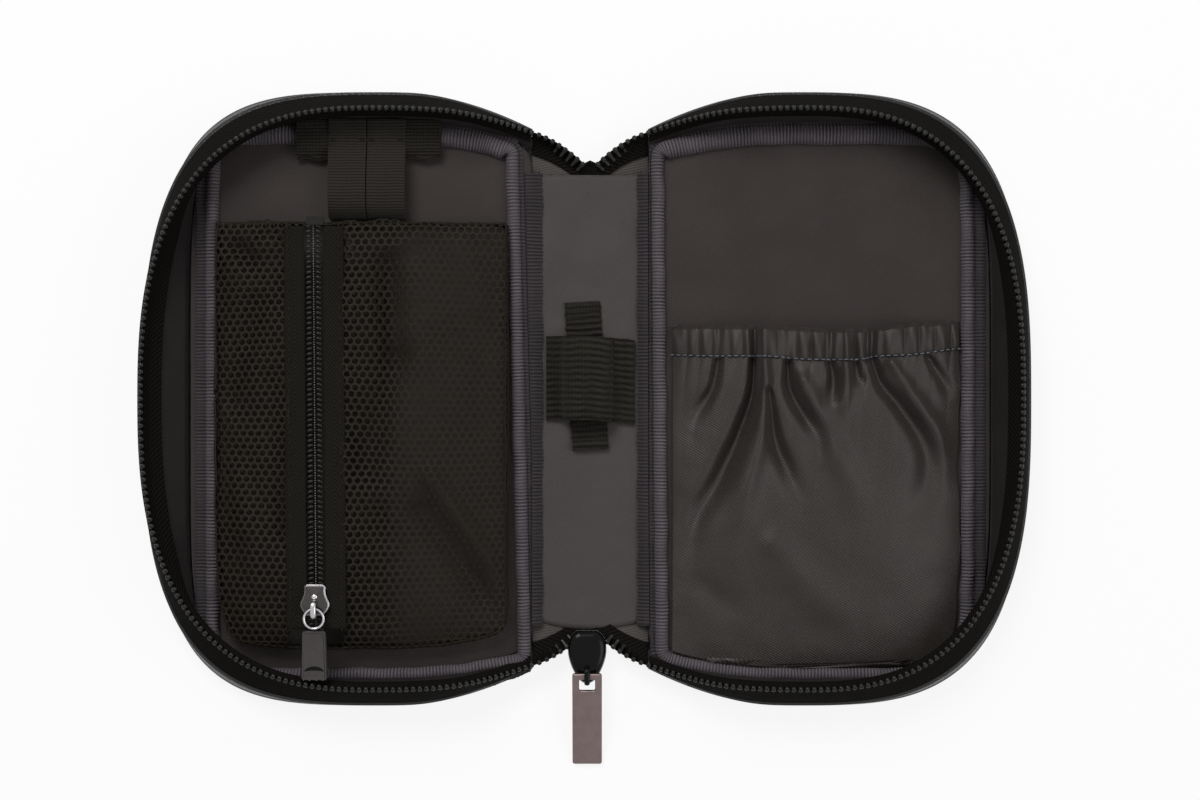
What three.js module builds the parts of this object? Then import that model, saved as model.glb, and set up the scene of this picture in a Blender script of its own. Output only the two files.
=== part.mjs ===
// Zip-around soft case for a glucose meter, lying open: a spine with a padded tray folded out on each side.
// Units are millimetres. +X runs across the two trays, +Y towards the top end and +Z up from the table.
// The origin is on the table, under the middle of the spine.
import * as THREE from "three";

// Spine and the two fold lines beside it
const foldLineX = 15;
const foldLineRise = 0.4;
const seamGap = 0.3;
const spineSetback = 21.7;
const leatherThickness = 1;
const spineBoardThickness = 0.6;
const spineLiningThickness = 0.6;

// Layers of a tray's floor, from the table up
const foamThickness = 2;
const liningThickness = 0.6;

// Outlines of a tray, all drawn round the same crest line across the tray. The cover's is the largest.
const crestX = 56;
const coverHalfHeight = 81.7;
const coverReach = 116;
const rimEndSetback = 5.7;
const rimSideSetbackLeft = 0.5;
const rimSideSetbackRight = 2.5;
const floorEndSetback = 8.3;
const floorSideSetback = 9.5;
const outerCornerPower = 3.2;
const rimCornerPower = 2.6;
const innerCornerPower = 2.5;
const coverInnerReach = 75;
const rimInnerReach = 80;
const lineSteps = 48;

// Wall, piping and zip of a tray
const closedRimGap = 0.8;
const wallThickness = 0.9;
const gussetLiningThickness = 0.6;
const pipingDiameter = 2.2;
const pipingSides = 6;
const tapeHeight = 2.7;
const tapeFootWidth = 2;
const tapeTopWidth = 0.8;
const teethWidth = 1.8;
const teethHeight = 1.1;
const rimOverhang = 0.8;
const endRise = 18;

// Bound seam round a tray's floor
const bindingWidth = 5.5;
const bindingThickness = 0.8;
const bindingCorner = 5;
const contentsClearance = 1.2;
const contentsCorner = 5;
const contentsSideClearance = 2.5;

// Ends of the main zip on the spine
const zipTabLength = 7.2;
const zipTabNotch = 2;
const zipTabThickness = 1.2;
const endTeethThickness = 1.2;
const endTeethWidth = 2.2;
const endTeethSetback = 3.4;

// Main slider, its bail and its pull tab
const mainSliderX = -0.8;
const mainSliderSetback = 1;
const mainSliderLength = 14.1;
const mainSliderShoulder = 4.7;
const mainSliderNoseHalf = 2;
const mainSliderWideHalf = 5.1;
const mainSliderTipHalf = 1.4;
const mainSliderThickness = 4.2;
const mainSliderRoom = 2.7;
const mainPullOffset = 11.8;
const mainPullTilt = 18.5;
const mainTabWidth = 7.8;
const mainTabLength = 25;
const mainTabThickness = 1.3;
const mainTabCorner = 1.4;
const mainSlotWidth = 4.2;
const mainSlotLength = 3.6;

// Bails that hold the pulls
const bailWire = 0.8;
const bailHalfWidth = 0.8;
const bailClearance = 0.7;
const bailHeadroom = 0.5;

// Pen loop on the spine
const penStrapWidth = 9.4;
const penStrapLength = 38.8;
const penStrapX = -1;
const penStrapY = 6.1;
const penStrapSlant = 3.2;
const webbingThickness = 0.8;
const penBandWidth = 22.4;
const penBandY = 5.3;
const penBandHalfSpan = 11.8;
const penArchHalf = 7.2;
const penArchHeight = 6.4;
const elasticThickness = 0.9;

// Elastic loops at the top of the left tray
const loopBaseWidth = 38;
const loopBaseHeight = 9.6;
const loopBaseShift = 3;
const loopFootDepth = 3.9;
const loopPouchGap = 0.9;
const loopWidth = 9.6;
const loopPairGap = 0.6;
const loopPairShift = 0.4;
const loopRise = 6.2;

// Zipped mesh pouch in the left tray
const pouchTopSetback = 19.6;
const pouchInnerWidth = 48;
const pouchWallTop = 9;
const pouchCrown = 14.6;
const meshThickness = 0.8;
const meshPanelSteps = 12;
const pouchCorner = 6;
const chainWidth = 4.4;
const chainThickness = 1.3;
const pouchTapeWidth = 5.4;
const pouchTapeThickness = 0.4;
const pouchZipTopMargin = 1.5;
const pouchZipBottomMargin = 5.3;
const stopLength = 2.2;

// Slider, ring and tab of the pouch
const pouchSliderFromEnd = 7.4;
const pouchSliderLength = 8.4;
const pouchSliderWidth = 7.4;
const pouchSliderPlate = 0.9;
const pouchPullOffset = 2.2;
const pouchPullTilt = 5;
const ringOuterRadius = 2.9;
const ringWireRadius = 0.65;
const ringSteps = 20;
const ringSides = 8;
const pouchTabWidth = 7;
const pouchTabLength = 13;
const pouchTabThickness = 1.2;
const pouchTabCorner = 1.2;

// Gathered slip pocket in the right tray
const pocketMouthY = 19.5;
const pocketHemDepth = 8.2;
const pocketEdgeHeight = 1;
const pocketCrown = 7.1;
const pocketThickness = 0.8;
const hemThickness = 1.5;
const hemGathers = 12;
const hemGatherDepth = 0.45;
const pocketColumns = 26;
const pocketRows = 14;

// Heights that follow from the layers
const spineBoardZ = leatherThickness + seamGap;
const spineLiningZ = spineBoardZ + spineBoardThickness + seamGap;
const spineTop = spineLiningZ + spineLiningThickness;
const foamZ = leatherThickness + seamGap;
const floorLiningZ = foamZ + foamThickness + seamGap;
const floorTop = floorLiningZ + liningThickness;
const floorRest = floorTop + seamGap;
const zipTabZ = spineTop - zipTabThickness;
const zipTabTop = spineTop + seamGap;
const foldLineZ = spineTop + foldLineRise;

// The wall is as high as half the spine is wide, so that the two rims meet when the case is folded shut.
const rimHeight = foldLineZ + foldLineX - closedRimGap / 2;
const wallTop = rimHeight - teethHeight - tapeHeight - 2 * seamGap;
const endRimHeight = foldLineZ + foldLineX - mainSliderWideHalf - Math.abs(mainSliderX) - mainSliderRoom;

// Places that follow from the cover's outline
const trayStartX = foldLineX + seamGap;
const contentsStartX = trayStartX + seamGap + bindingWidth + contentsSideClearance;
const spineHalfLength = coverHalfHeight - spineSetback;
const rimHalfHeight = coverHalfHeight - rimEndSetback;
const floorHalfHeight = coverHalfHeight - floorEndSetback;
const floorReach = coverReach - floorSideSetback;
const mainSliderTopY = -spineHalfLength - seamGap - mainSliderSetback;
const mainPullY = mainSliderTopY - mainPullOffset;

const leather = { color: 0x17161a, roughness: 0.45, metalness: 0 };
const leatherTrim = { color: 0x1c1a1e, roughness: 0.4, metalness: 0 };
const foam = { color: 0x55524e, roughness: 0.95, metalness: 0 };
const lining = { color: 0x3d3a37, roughness: 0.85, metalness: 0 };
const grosgrain = { color: 0x57515b, roughness: 0.8, metalness: 0 };
const zipCloth = { color: 0x151416, roughness: 0.9, metalness: 0 };
const zipTeeth = { color: 0x101012, roughness: 0.35, metalness: 0 };
const webbing = { color: 0x2a2825, roughness: 0.85, metalness: 0 };
const mesh = { color: 0x292620, roughness: 0.8, metalness: 0 };
const pocketCloth = { color: 0x3b3734, roughness: 0.6, metalness: 0 };
const darkNickel = { color: 0x4b484b, roughness: 0.25, metalness: 1 };
const blackEnamel = { color: 0x0b0b0d, roughness: 0.15, metalness: 0.1 };
const gunmetal = { color: 0x635858, roughness: 0.35, metalness: 1 };

const model = new THREE.Group();

function addPiece(name, geometry, finish) {
  const piece = new THREE.Mesh(geometry, new THREE.MeshStandardMaterial(finish));
  piece.name = name;
  model.add(piece);
  return piece;
}

// One end-to-end outline of a tray: two superellipse quarters that meet at the crest, mirrored below.
class TrayLine extends THREE.Curve {
  constructor({ halfHeight, reach, innerReach, outerPower, startX }) {
    super();
    this.halfHeight = halfHeight;
    this.outerReach = reach - crestX;
    this.innerReach = innerReach;
    this.outerPower = outerPower;
    this.startX = startX;
    this.startAngle = Math.atan2(this.heightAt(startX), startX - crestX);
  }

  // Half the tray's height at one place across it
  heightAt(x) {
    const outside = x > crestX;
    const reach = outside ? this.outerReach : this.innerReach;
    const power = outside ? this.outerPower : innerCornerPower;
    const share = Math.min(Math.abs(x - crestX) / reach, 1);
    return this.halfHeight * (1 - share ** power) ** (1 / power);
  }

  // How far across the outer side lies at one height
  reachAt(y) {
    const share = Math.min(Math.abs(y) / this.halfHeight, 1);
    return crestX + this.outerReach * (1 - share ** this.outerPower) ** (1 / this.outerPower);
  }

  getPoint(t, target = new THREE.Vector3()) {
    const angle = this.startAngle * (1 - 2 * t);
    const outside = Math.cos(angle) > 0;
    const reach = outside ? this.outerReach : this.innerReach;
    const power = outside ? this.outerPower : innerCornerPower;
    const across = Math.abs(Math.cos(angle) / reach) ** power;
    const along = Math.abs(Math.sin(angle) / this.halfHeight) ** power;
    const radius = (across + along) ** (-1 / power);
    return target.set(crestX + radius * Math.cos(angle), radius * Math.sin(angle), 0);
  }

  // A point of the line moved inwards, never past the fold line
  insetPoint(share, inset) {
    const point = this.getPointAt(share);
    const along = this.getTangentAt(share);
    point.x = Math.max(point.x + inset * along.y, this.startX);
    point.y -= inset * along.x;
    return point;
  }
}

// Joins equal rings of points into one closed skin and turns its faces outwards.
function skinSections(sections, looped = false) {
  const count = sections[0].length;
  const corners = [];
  const last = looped ? sections.length : sections.length - 1;
  for (let i = 0; i < last; i++) {
    const here = sections[i];
    const next = sections[(i + 1) % sections.length];
    for (let j = 0; j < count; j++) {
      const k = (j + 1) % count;
      corners.push(here[j], next[j], next[k], here[j], next[k], here[k]);
    }
  }
  if (!looped) {
    const first = sections[0];
    const end = sections[sections.length - 1];
    for (let j = 1; j < count - 1; j++) {
      corners.push(first[0], first[j], first[j + 1]);
      corners.push(end[0], end[j + 1], end[j]);
    }
  }
  return facingOut(corners);
}

function facingOut(corners) {
  let volume = 0;
  for (let i = 0; i < corners.length; i += 3) {
    volume += corners[i].dot(corners[i + 1].clone().cross(corners[i + 2]));
  }
  const ordered = [];
  for (let i = 0; i < corners.length; i += 3) {
    const [a, b, c] = corners.slice(i, i + 3);
    ordered.push(...(volume > 0 ? [a, b, c] : [a, c, b]));
  }
  const geometry = new THREE.BufferGeometry().setFromPoints(ordered);
  geometry.computeVertexNormals();
  return geometry;
}

function plate(shape, bottomZ, thickness) {
  const geometry = new THREE.ExtrudeGeometry(shape, { depth: thickness, bevelEnabled: false });
  return geometry.translate(0, 0, bottomZ);
}

function box(lowX, highX, lowY, highY, lowZ, highZ) {
  const geometry = new THREE.BoxGeometry(highX - lowX, highY - lowY, highZ - lowZ);
  return geometry.translate((lowX + highX) / 2, (lowY + highY) / 2, (lowZ + highZ) / 2);
}

// A thin sheet over a patch of the XY plane, with its height given by a formula.
function drapedSheet({ columns, rows, columnX, lowY, highY, heightAt, thickness }) {
  const top = [];
  for (let i = 0; i <= columns; i++) {
    const x = columnX(i / columns);
    const line = [];
    for (let j = 0; j <= rows; j++) {
      const y = THREE.MathUtils.lerp(lowY(x), highY(x), j / rows);
      line.push(new THREE.Vector3(x, y, heightAt(x, y)));
    }
    top.push(line);
  }
  const sections = top.map((line) => {
    const under = line.map((p) => new THREE.Vector3(p.x, p.y, p.z - thickness));
    return [...line, ...under.reverse()];
  });
  const corners = [];
  const count = sections[0].length;
  for (let i = 0; i < columns; i++) {
    for (let j = 0; j < count; j++) {
      const k = (j + 1) % count;
      const [here, next] = [sections[i], sections[i + 1]];
      corners.push(here[j], next[j], next[k], here[j], next[k], here[k]);
    }
  }
  for (let j = 0; j < rows; j++) {
    const mirror = count - 1 - j;
    const [first, end] = [sections[0], sections[columns]];
    corners.push(first[j], first[j + 1], first[mirror - 1], first[j], first[mirror - 1], first[mirror]);
    corners.push(end[j], end[mirror - 1], end[j + 1], end[j], end[mirror], end[mirror - 1]);
  }
  return facingOut(corners);
}

function mirrored(geometry, side) {
  if (side > 0) {
    return geometry;
  }
  const flat = geometry.index ? geometry.toNonIndexed() : geometry;
  const at = flat.getAttribute("position");
  const corners = [];
  for (let i = 0; i < at.count; i++) {
    corners.push(new THREE.Vector3(-at.getX(i), at.getY(i), at.getZ(i)));
  }
  return facingOut(corners);
}

// A hole runs the other way round than the outline that it is cut from.
function asHole(shape) {
  return new THREE.Path(shape.getPoints().reverse());
}

// A closed outline of a tray's floor, with rounded corners at the fold line.
function trayShape(line, inset, startX, corner) {
  const shape = new THREE.Shape();
  const endY = line.heightAt(startX) - inset;
  shape.moveTo(startX, endY - corner);
  const points = [];
  for (let i = 0; i <= lineSteps; i++) {
    points.push(line.insetPoint(i / lineSteps, inset));
  }
  const kept = points.filter((p) => p.x > startX + corner);
  shape.quadraticCurveTo(startX, endY, kept[0].x, kept[0].y);
  kept.slice(1).forEach((p) => shape.lineTo(p.x, p.y));
  shape.quadraticCurveTo(startX, -endY, startX, corner - endY);
  shape.closePath();
  return shape;
}

// Outlines of one tray
function trayLines(rimReach) {
  const cover = new TrayLine({
    halfHeight: coverHalfHeight,
    reach: coverReach,
    innerReach: coverInnerReach,
    outerPower: outerCornerPower,
    startX: trayStartX,
  });
  const rim = new TrayLine({
    halfHeight: rimHalfHeight,
    reach: rimReach,
    innerReach: rimInnerReach,
    outerPower: rimCornerPower,
    startX: trayStartX,
  });
  const floor = new TrayLine({
    halfHeight: floorHalfHeight,
    reach: floorReach,
    innerReach: coverInnerReach,
    outerPower: outerCornerPower,
    startX: trayStartX,
  });
  return { cover, rim, floor };
}

// The outline left for what lies inside the bound seam
const contentsInset = bindingWidth + gussetLiningThickness + contentsClearance;
const contentsReach = floorReach - contentsInset;
const contentsLine = new TrayLine({
  halfHeight: floorHalfHeight - contentsInset,
  reach: contentsReach,
  innerReach: coverInnerReach,
  outerPower: outerCornerPower,
  startX: trayStartX,
});

const pouchTopY = floorHalfHeight - contentsInset - pouchTopSetback;
const pouchZipX = contentsStartX + pouchInnerWidth;
const pouchZipTopY = pouchTopY - pouchZipTopMargin;
const pouchZipBottomY = pouchZipBottomMargin - contentsLine.heightAt(pouchZipX);
const pouchSliderY = pouchZipBottomY + pouchSliderFromEnd;

// Half the height that is left for the pouch and the pocket, whose corners by the spine are rounded off
function contentsEdge(x) {
  const share = Math.max(1 - (x - contentsStartX) / contentsCorner, 0);
  const drop = contentsCorner * (1 - Math.sqrt(1 - Math.min(share, 1) ** 2));
  return contentsLine.heightAt(x) - drop;
}

// The wall sinks towards the spine, so the zip can run down to the fold.
function riseAt(share, line) {
  const distance = Math.min(share, 1 - share) * line.getLength();
  const climb = THREE.MathUtils.smoothstep(distance, 0, endRise);
  const lowShare = (endRimHeight - floorRest) / (rimHeight - floorRest);
  return THREE.MathUtils.lerp(lowShare, 1, climb);
}

// A band that follows the wall. Each corner names the line it follows, how far inside it lies and its height.
function wallBand(lines, corners) {
  const sections = [];
  for (let i = 0; i <= lineSteps; i++) {
    const share = i / lineSteps;
    const rise = riseAt(share, lines.rim);
    sections.push(
      corners.map(([line, inset, height]) => {
        const point = lines[line].insetPoint(share, inset);
        const above = Math.max(height - floorRest, 0);
        point.z = height - above + above * rise;
        return point;
      }),
    );
  }
  return skinSections(sections);
}

function trayPiping(lines) {
  const radius = pipingDiameter / 2;
  const sections = [];
  for (let i = 0; i <= lineSteps; i++) {
    const section = [];
    for (let j = 0; j < pipingSides; j++) {
      const angle = (2 * Math.PI * (j + 1 / 2)) / pipingSides;
      const point = lines.cover.insetPoint(i / lineSteps, radius - radius * Math.cos(angle));
      point.z = seamGap + radius + radius * Math.sin(angle);
      section.push(point);
    }
    sections.push(section);
  }
  return skinSections(sections);
}

// Leather cover, foam, lining, walls, zip half and bound seam of one tray
function addTray(name, side, rimReach) {
  const lines = trayLines(rimReach);
  const add = (piece, geometry, finish) => addPiece(`${name}_${piece}`, mirrored(geometry, side), finish);

  const coverShape = trayShape(lines.cover, pipingDiameter + seamGap, trayStartX, seamGap);
  add("cover", plate(coverShape, 0, leatherThickness), leather);
  add("piping", trayPiping(lines), leatherTrim);

  const foamShape = trayShape(lines.floor, 0, trayStartX, bindingCorner);
  add("foam", plate(foamShape, foamZ, foamThickness), foam);
  const liningShape = trayShape(lines.floor, -wallThickness, trayStartX, bindingCorner);
  add("lining", plate(liningShape, floorLiningZ, liningThickness), lining);

  const gussetFootZ = pipingDiameter + 2 * seamGap;
  add(
    "gusset",
    wallBand(lines, [
      ["cover", pipingDiameter / 4, gussetFootZ],
      ["cover", pipingDiameter / 4 + wallThickness, gussetFootZ],
      ["rim", wallThickness - rimOverhang, wallTop],
      ["rim", -rimOverhang, wallTop],
    ]),
    leatherTrim,
  );
  const liningTopInset = wallThickness + seamGap;
  add(
    "gusset_lining",
    wallBand(lines, [
      ["floor", 0, floorRest],
      ["floor", gussetLiningThickness, floorRest],
      ["rim", liningTopInset + gussetLiningThickness, wallTop],
      ["rim", liningTopInset, wallTop],
    ]),
    lining,
  );

  const tapeFootZ = wallTop + seamGap;
  const tapeFoot = tapeFootWidth - rimOverhang;
  const tapeTop = tapeFootZ + tapeHeight;
  const middle = teethWidth / 2 - rimOverhang / 2;
  add(
    "zip_tape",
    wallBand(lines, [
      ["rim", -rimOverhang, tapeFootZ],
      ["rim", tapeFoot, tapeFootZ],
      ["rim", middle + tapeTopWidth / 2, tapeTop],
      ["rim", middle - tapeTopWidth / 2, tapeTop],
    ]),
    zipCloth,
  );
  const teethFoot = tapeTop + seamGap;
  add(
    "zip_teeth",
    wallBand(lines, [
      ["rim", middle - teethWidth / 2, teethFoot],
      ["rim", middle + teethWidth / 2, teethFoot],
      ["rim", middle + teethWidth / 2, rimHeight],
      ["rim", middle - teethWidth / 2, rimHeight],
    ]),
    zipTeeth,
  );

  const ringInset = gussetLiningThickness + seamGap;
  const ring = trayShape(lines.floor, ringInset, trayStartX + seamGap, bindingCorner);
  const holeStart = trayStartX + seamGap + bindingWidth;
  ring.holes.push(asHole(trayShape(lines.floor, ringInset + bindingWidth, holeStart, bindingCorner)));
  add("binding", plate(ring, floorRest, bindingThickness), grosgrain);
}

// Leather, board and lining of the spine
function addSpine() {
  const half = foldLineX - seamGap;
  const layers = [
    ["spine_cover", 0, leatherThickness, leather],
    ["spine_board", spineBoardZ, spineBoardThickness, foam],
    ["spine_lining", spineLiningZ, spineLiningThickness, lining],
  ];
  for (const [name, bottom, thickness, finish] of layers) {
    const layer = box(-half, half, -spineHalfLength, spineHalfLength, bottom, bottom + thickness);
    addPiece(name, layer, finish);
  }
}

// Cloth tab at one end of the spine, where the two halves of the zip run together. Its end is notched.
function zipTabShape() {
  const half = foldLineX - 2 * seamGap;
  const foot = spineHalfLength + seamGap;
  const shape = new THREE.Shape();
  shape.moveTo(-half, foot);
  shape.lineTo(half, foot);
  shape.lineTo(half, foot + zipTabLength);
  shape.lineTo(0, foot + zipTabNotch);
  shape.lineTo(-half, foot + zipTabLength);
  shape.closePath();
  return shape;
}

// One arm of the zip's last teeth, from the notch out towards a tray
function endTeeth(side, fromX) {
  const foot = spineHalfLength + seamGap + zipTabNotch;
  const slope = (zipTabLength - zipTabNotch) / (foldLineX - 2 * seamGap);
  const edgeY = (x) => foot + slope * x - seamGap;
  const reach = foldLineX - endTeethSetback;
  const shape = new THREE.Shape();
  shape.moveTo(fromX, edgeY(fromX));
  shape.lineTo(fromX, edgeY(fromX) - endTeethWidth);
  shape.lineTo(reach, edgeY(reach) - endTeethWidth);
  shape.lineTo(reach, edgeY(reach));
  shape.closePath();
  return mirrored(plate(shape, zipTabTop, endTeethThickness), side);
}

function addZipEnds() {
  addPiece("zip_end_tab_top", plate(zipTabShape(), zipTabZ, zipTabThickness), zipCloth);
  const bottomTab = addPiece("zip_end_tab_bottom", plate(zipTabShape(), zipTabZ, zipTabThickness), zipCloth);
  bottomTab.rotation.z = Math.PI;
  const sides = [
    ["left", -1],
    ["right", 1],
  ];
  for (const [name, side] of sides) {
    addPiece(`zip_end_teeth_top_${name}`, endTeeth(side, seamGap), zipTeeth);
    const clearOfSlider = mainSliderWideHalf - side * mainSliderX + seamGap + endTeethWidth / 2;
    const arm = addPiece(`zip_end_teeth_bottom_${name}`, endTeeth(-side, clearOfSlider), zipTeeth);
    arm.rotation.z = Math.PI;
  }
}

// An upright arch of wire, seen from the side, with its inside centred on the pull's bar
function bailGeometry(barRadius) {
  const insideHalf = barRadius + bailClearance;
  const insideTop = barRadius + bailHeadroom;
  const outside = insideHalf + bailWire;
  const foot = -barRadius - bailHeadroom;
  const shape = new THREE.Shape();
  shape.moveTo(-outside, foot);
  shape.lineTo(-insideHalf, foot);
  shape.lineTo(-insideHalf, insideTop);
  shape.lineTo(insideHalf, insideTop);
  shape.lineTo(insideHalf, foot);
  shape.lineTo(outside, foot);
  shape.lineTo(outside, insideTop + bailWire / 2);
  shape.lineTo(insideHalf, insideTop + bailWire);
  shape.lineTo(-insideHalf, insideTop + bailWire);
  shape.lineTo(-outside, insideTop + bailWire / 2);
  shape.closePath();
  const geometry = new THREE.ExtrudeGeometry(shape, { depth: 2 * bailHalfWidth, bevelEnabled: false });
  // The arch is drawn in Y and Z and its wire runs along X.
  geometry.translate(0, 0, -bailHalfWidth);
  geometry.rotateX(Math.PI / 2);
  return geometry.rotateZ(Math.PI / 2);
}

// Slider body at the end of the main zip, its bail and the long pull tab
function addMainSlider() {
  const wideY = mainSliderTopY - mainSliderShoulder;
  const tipY = mainSliderTopY - mainSliderLength;
  const outline = new THREE.Shape();
  outline.moveTo(-mainSliderNoseHalf, mainSliderTopY);
  outline.lineTo(mainSliderNoseHalf, mainSliderTopY);
  outline.quadraticCurveTo(mainSliderWideHalf, mainSliderTopY, mainSliderWideHalf, wideY);
  outline.quadraticCurveTo(mainSliderWideHalf, mainPullY, mainSliderTipHalf, tipY);
  outline.lineTo(-mainSliderTipHalf, tipY);
  outline.quadraticCurveTo(-mainSliderWideHalf, mainPullY, -mainSliderWideHalf, wideY);
  outline.quadraticCurveTo(-mainSliderWideHalf, mainSliderTopY, -mainSliderNoseHalf, mainSliderTopY);
  const body = addPiece("main_slider", plate(outline, zipTabTop, mainSliderThickness), blackEnamel);
  body.position.x = mainSliderX;

  const barRadius = mainTabThickness / 2;
  const bailFootZ = zipTabTop + mainSliderThickness + seamGap;
  const pivotZ = bailFootZ + barRadius + bailHeadroom;
  const bail = addPiece("main_slider_bail", bailGeometry(barRadius), darkNickel);
  bail.position.set(mainSliderX, mainPullY, pivotZ);

  // The tab hangs from a narrow bar at its end, so its slot clears the bail's leg.
  const half = mainTabWidth / 2;
  const tab = new THREE.Shape();
  tab.moveTo(-half, barRadius);
  tab.lineTo(-half, mainTabCorner - mainTabLength);
  tab.quadraticCurveTo(-half, -mainTabLength, mainTabCorner - half, -mainTabLength);
  tab.lineTo(half - mainTabCorner, -mainTabLength);
  tab.quadraticCurveTo(half, -mainTabLength, half, mainTabCorner - mainTabLength);
  tab.lineTo(half, barRadius);
  tab.closePath();
  const slot = new THREE.Path();
  slot.moveTo(-mainSlotWidth / 2, -barRadius);
  slot.lineTo(mainSlotWidth / 2, -barRadius);
  slot.lineTo(mainSlotWidth / 2, -barRadius - mainSlotLength);
  slot.lineTo(-mainSlotWidth / 2, -barRadius - mainSlotLength);
  slot.closePath();
  tab.holes.push(slot);
  const pull = addPiece("main_pull_tab", plate(tab, -barRadius, mainTabThickness), gunmetal);
  pull.position.set(mainSliderX, mainPullY, pivotZ);
  pull.rotation.x = THREE.MathUtils.degToRad(mainPullTilt);
}

// An elastic band that bridges a gap: flat feet at both ends and a raised middle, drawn in X and Z.
// The foot at the far end can stand higher than the near one.
function archShape(halfSpan, archHalf, archHeight, thickness, farFoot = 0) {
  const corner = thickness;
  const shape = new THREE.Shape();
  shape.moveTo(-halfSpan, 0);
  shape.lineTo(-archHalf, 0);
  shape.bezierCurveTo(-archHalf, archHeight, corner - archHalf, archHeight, 0, archHeight);
  shape.bezierCurveTo(archHalf - corner, archHeight, archHalf, archHeight, archHalf, farFoot);
  shape.lineTo(halfSpan, farFoot);
  shape.lineTo(halfSpan, farFoot + thickness);
  shape.lineTo(archHalf + thickness, farFoot + thickness);
  const top = archHeight + thickness;
  shape.bezierCurveTo(archHalf + thickness, top, archHalf, top, 0, top);
  shape.bezierCurveTo(-archHalf, top, -archHalf - thickness, top, -archHalf - thickness, thickness);
  shape.lineTo(-halfSpan, thickness);
  shape.closePath();
  return shape;
}

function standingArch(shape, width) {
  const geometry = new THREE.ExtrudeGeometry(shape, { depth: width, bevelEnabled: false, curveSegments: 8 });
  return geometry.translate(0, 0, -width / 2).rotateX(Math.PI / 2);
}

function addPenLoop() {
  const restZ = spineTop + seamGap;
  const strap = box(
    -penStrapWidth / 2, penStrapWidth / 2, -penStrapLength / 2, penStrapLength / 2, 0, webbingThickness,
  );
  const strapPiece = addPiece("pen_loop_strap", strap, webbing);
  strapPiece.position.set(penStrapX, penStrapY, restZ);
  strapPiece.rotation.z = THREE.MathUtils.degToRad(penStrapSlant);

  const arch = archShape(penBandHalfSpan, penArchHalf, penArchHeight, elasticThickness);
  const band = addPiece("pen_loop_band", standingArch(arch, penBandWidth), webbing);
  band.position.set(0, penBandY, restZ);
}

function addElasticLoops() {
  const baseX = (contentsStartX + contentsReach) / 2 - loopBaseShift;
  const half = loopBaseWidth / 2;
  const overBinding = contentsInset - gussetLiningThickness - seamGap;
  const topY = contentsLine.heightAt(baseX + half) + overBinding - seamGap;
  const baseZ = floorRest + bindingThickness + seamGap;
  const base = box(-half, half, topY - loopBaseHeight, topY, baseZ, baseZ + webbingThickness);
  addPiece("loop_base", base, webbing).position.x = -baseX;

  // Both strips are sewn to the lining just above the pouch, and to the base at their top end.
  const bottomY = pouchTopY + loopPouchGap;
  const span = topY - bottomY;
  const onBase = baseZ + webbingThickness + seamGap - floorRest;
  const arch = archShape(span / 2, span / 2 - loopFootDepth, loopRise, elasticThickness, onBase);
  const offset = (loopWidth + loopPairGap) / 2;
  const places = [
    ["elastic_loop_inner", offset],
    ["elastic_loop_outer", -offset],
  ];
  for (const [name, shift] of places) {
    const geometry = standingArch(arch, loopWidth).rotateZ(Math.PI / 2);
    const loop = addPiece(name, geometry, webbing);
    loop.position.set(shift - baseX - loopPairShift, bottomY + span / 2, floorRest);
  }
}

// Outline of the mesh pouch, cut from the tray's inside outline
function pouchShape(inset) {
  const left = contentsStartX + inset;
  const top = pouchTopY - inset;
  const points = [];
  for (let i = 0; i <= lineSteps; i++) {
    points.push(contentsLine.insetPoint(i / lineSteps, inset));
  }
  const cornerY = top - pouchCorner;
  const cornerX = contentsLine.reachAt(cornerY) - inset;
  const below = points.filter((p) => p.y < cornerY && p.x > (p.y > 0 ? cornerX : left + pouchCorner));
  const endY = inset - contentsLine.heightAt(left);
  const shape = new THREE.Shape();
  shape.moveTo(left, cornerY);
  shape.quadraticCurveTo(left, top, left + pouchCorner, top);
  shape.lineTo(cornerX - pouchCorner, top);
  shape.quadraticCurveTo(cornerX, top, cornerX, cornerY);
  below.forEach((p) => shape.lineTo(p.x, p.y));
  shape.quadraticCurveTo(left, endY, left, endY + pouchCorner);
  shape.closePath();
  return shape;
}

function pouchHeight(x, y) {
  const toEdge = x < pouchZipX ? pouchZipX - contentsStartX : contentsReach - pouchZipX;
  const across = Math.abs(x - pouchZipX) / toEdge;
  const low = -contentsLine.heightAt(x);
  const high = Math.min(pouchTopY, -low);
  const middle = (low + high) / 2;
  const along = high > low ? Math.abs(y - middle) / (high - middle) : 1;
  const crownShare = (1 - across ** 3) * (1 - Math.min(along, 1) ** 8);
  const edgeZ = pouchWallTop + seamGap + meshThickness;
  return THREE.MathUtils.lerp(edgeZ, pouchCrown, crownShare);
}

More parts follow.
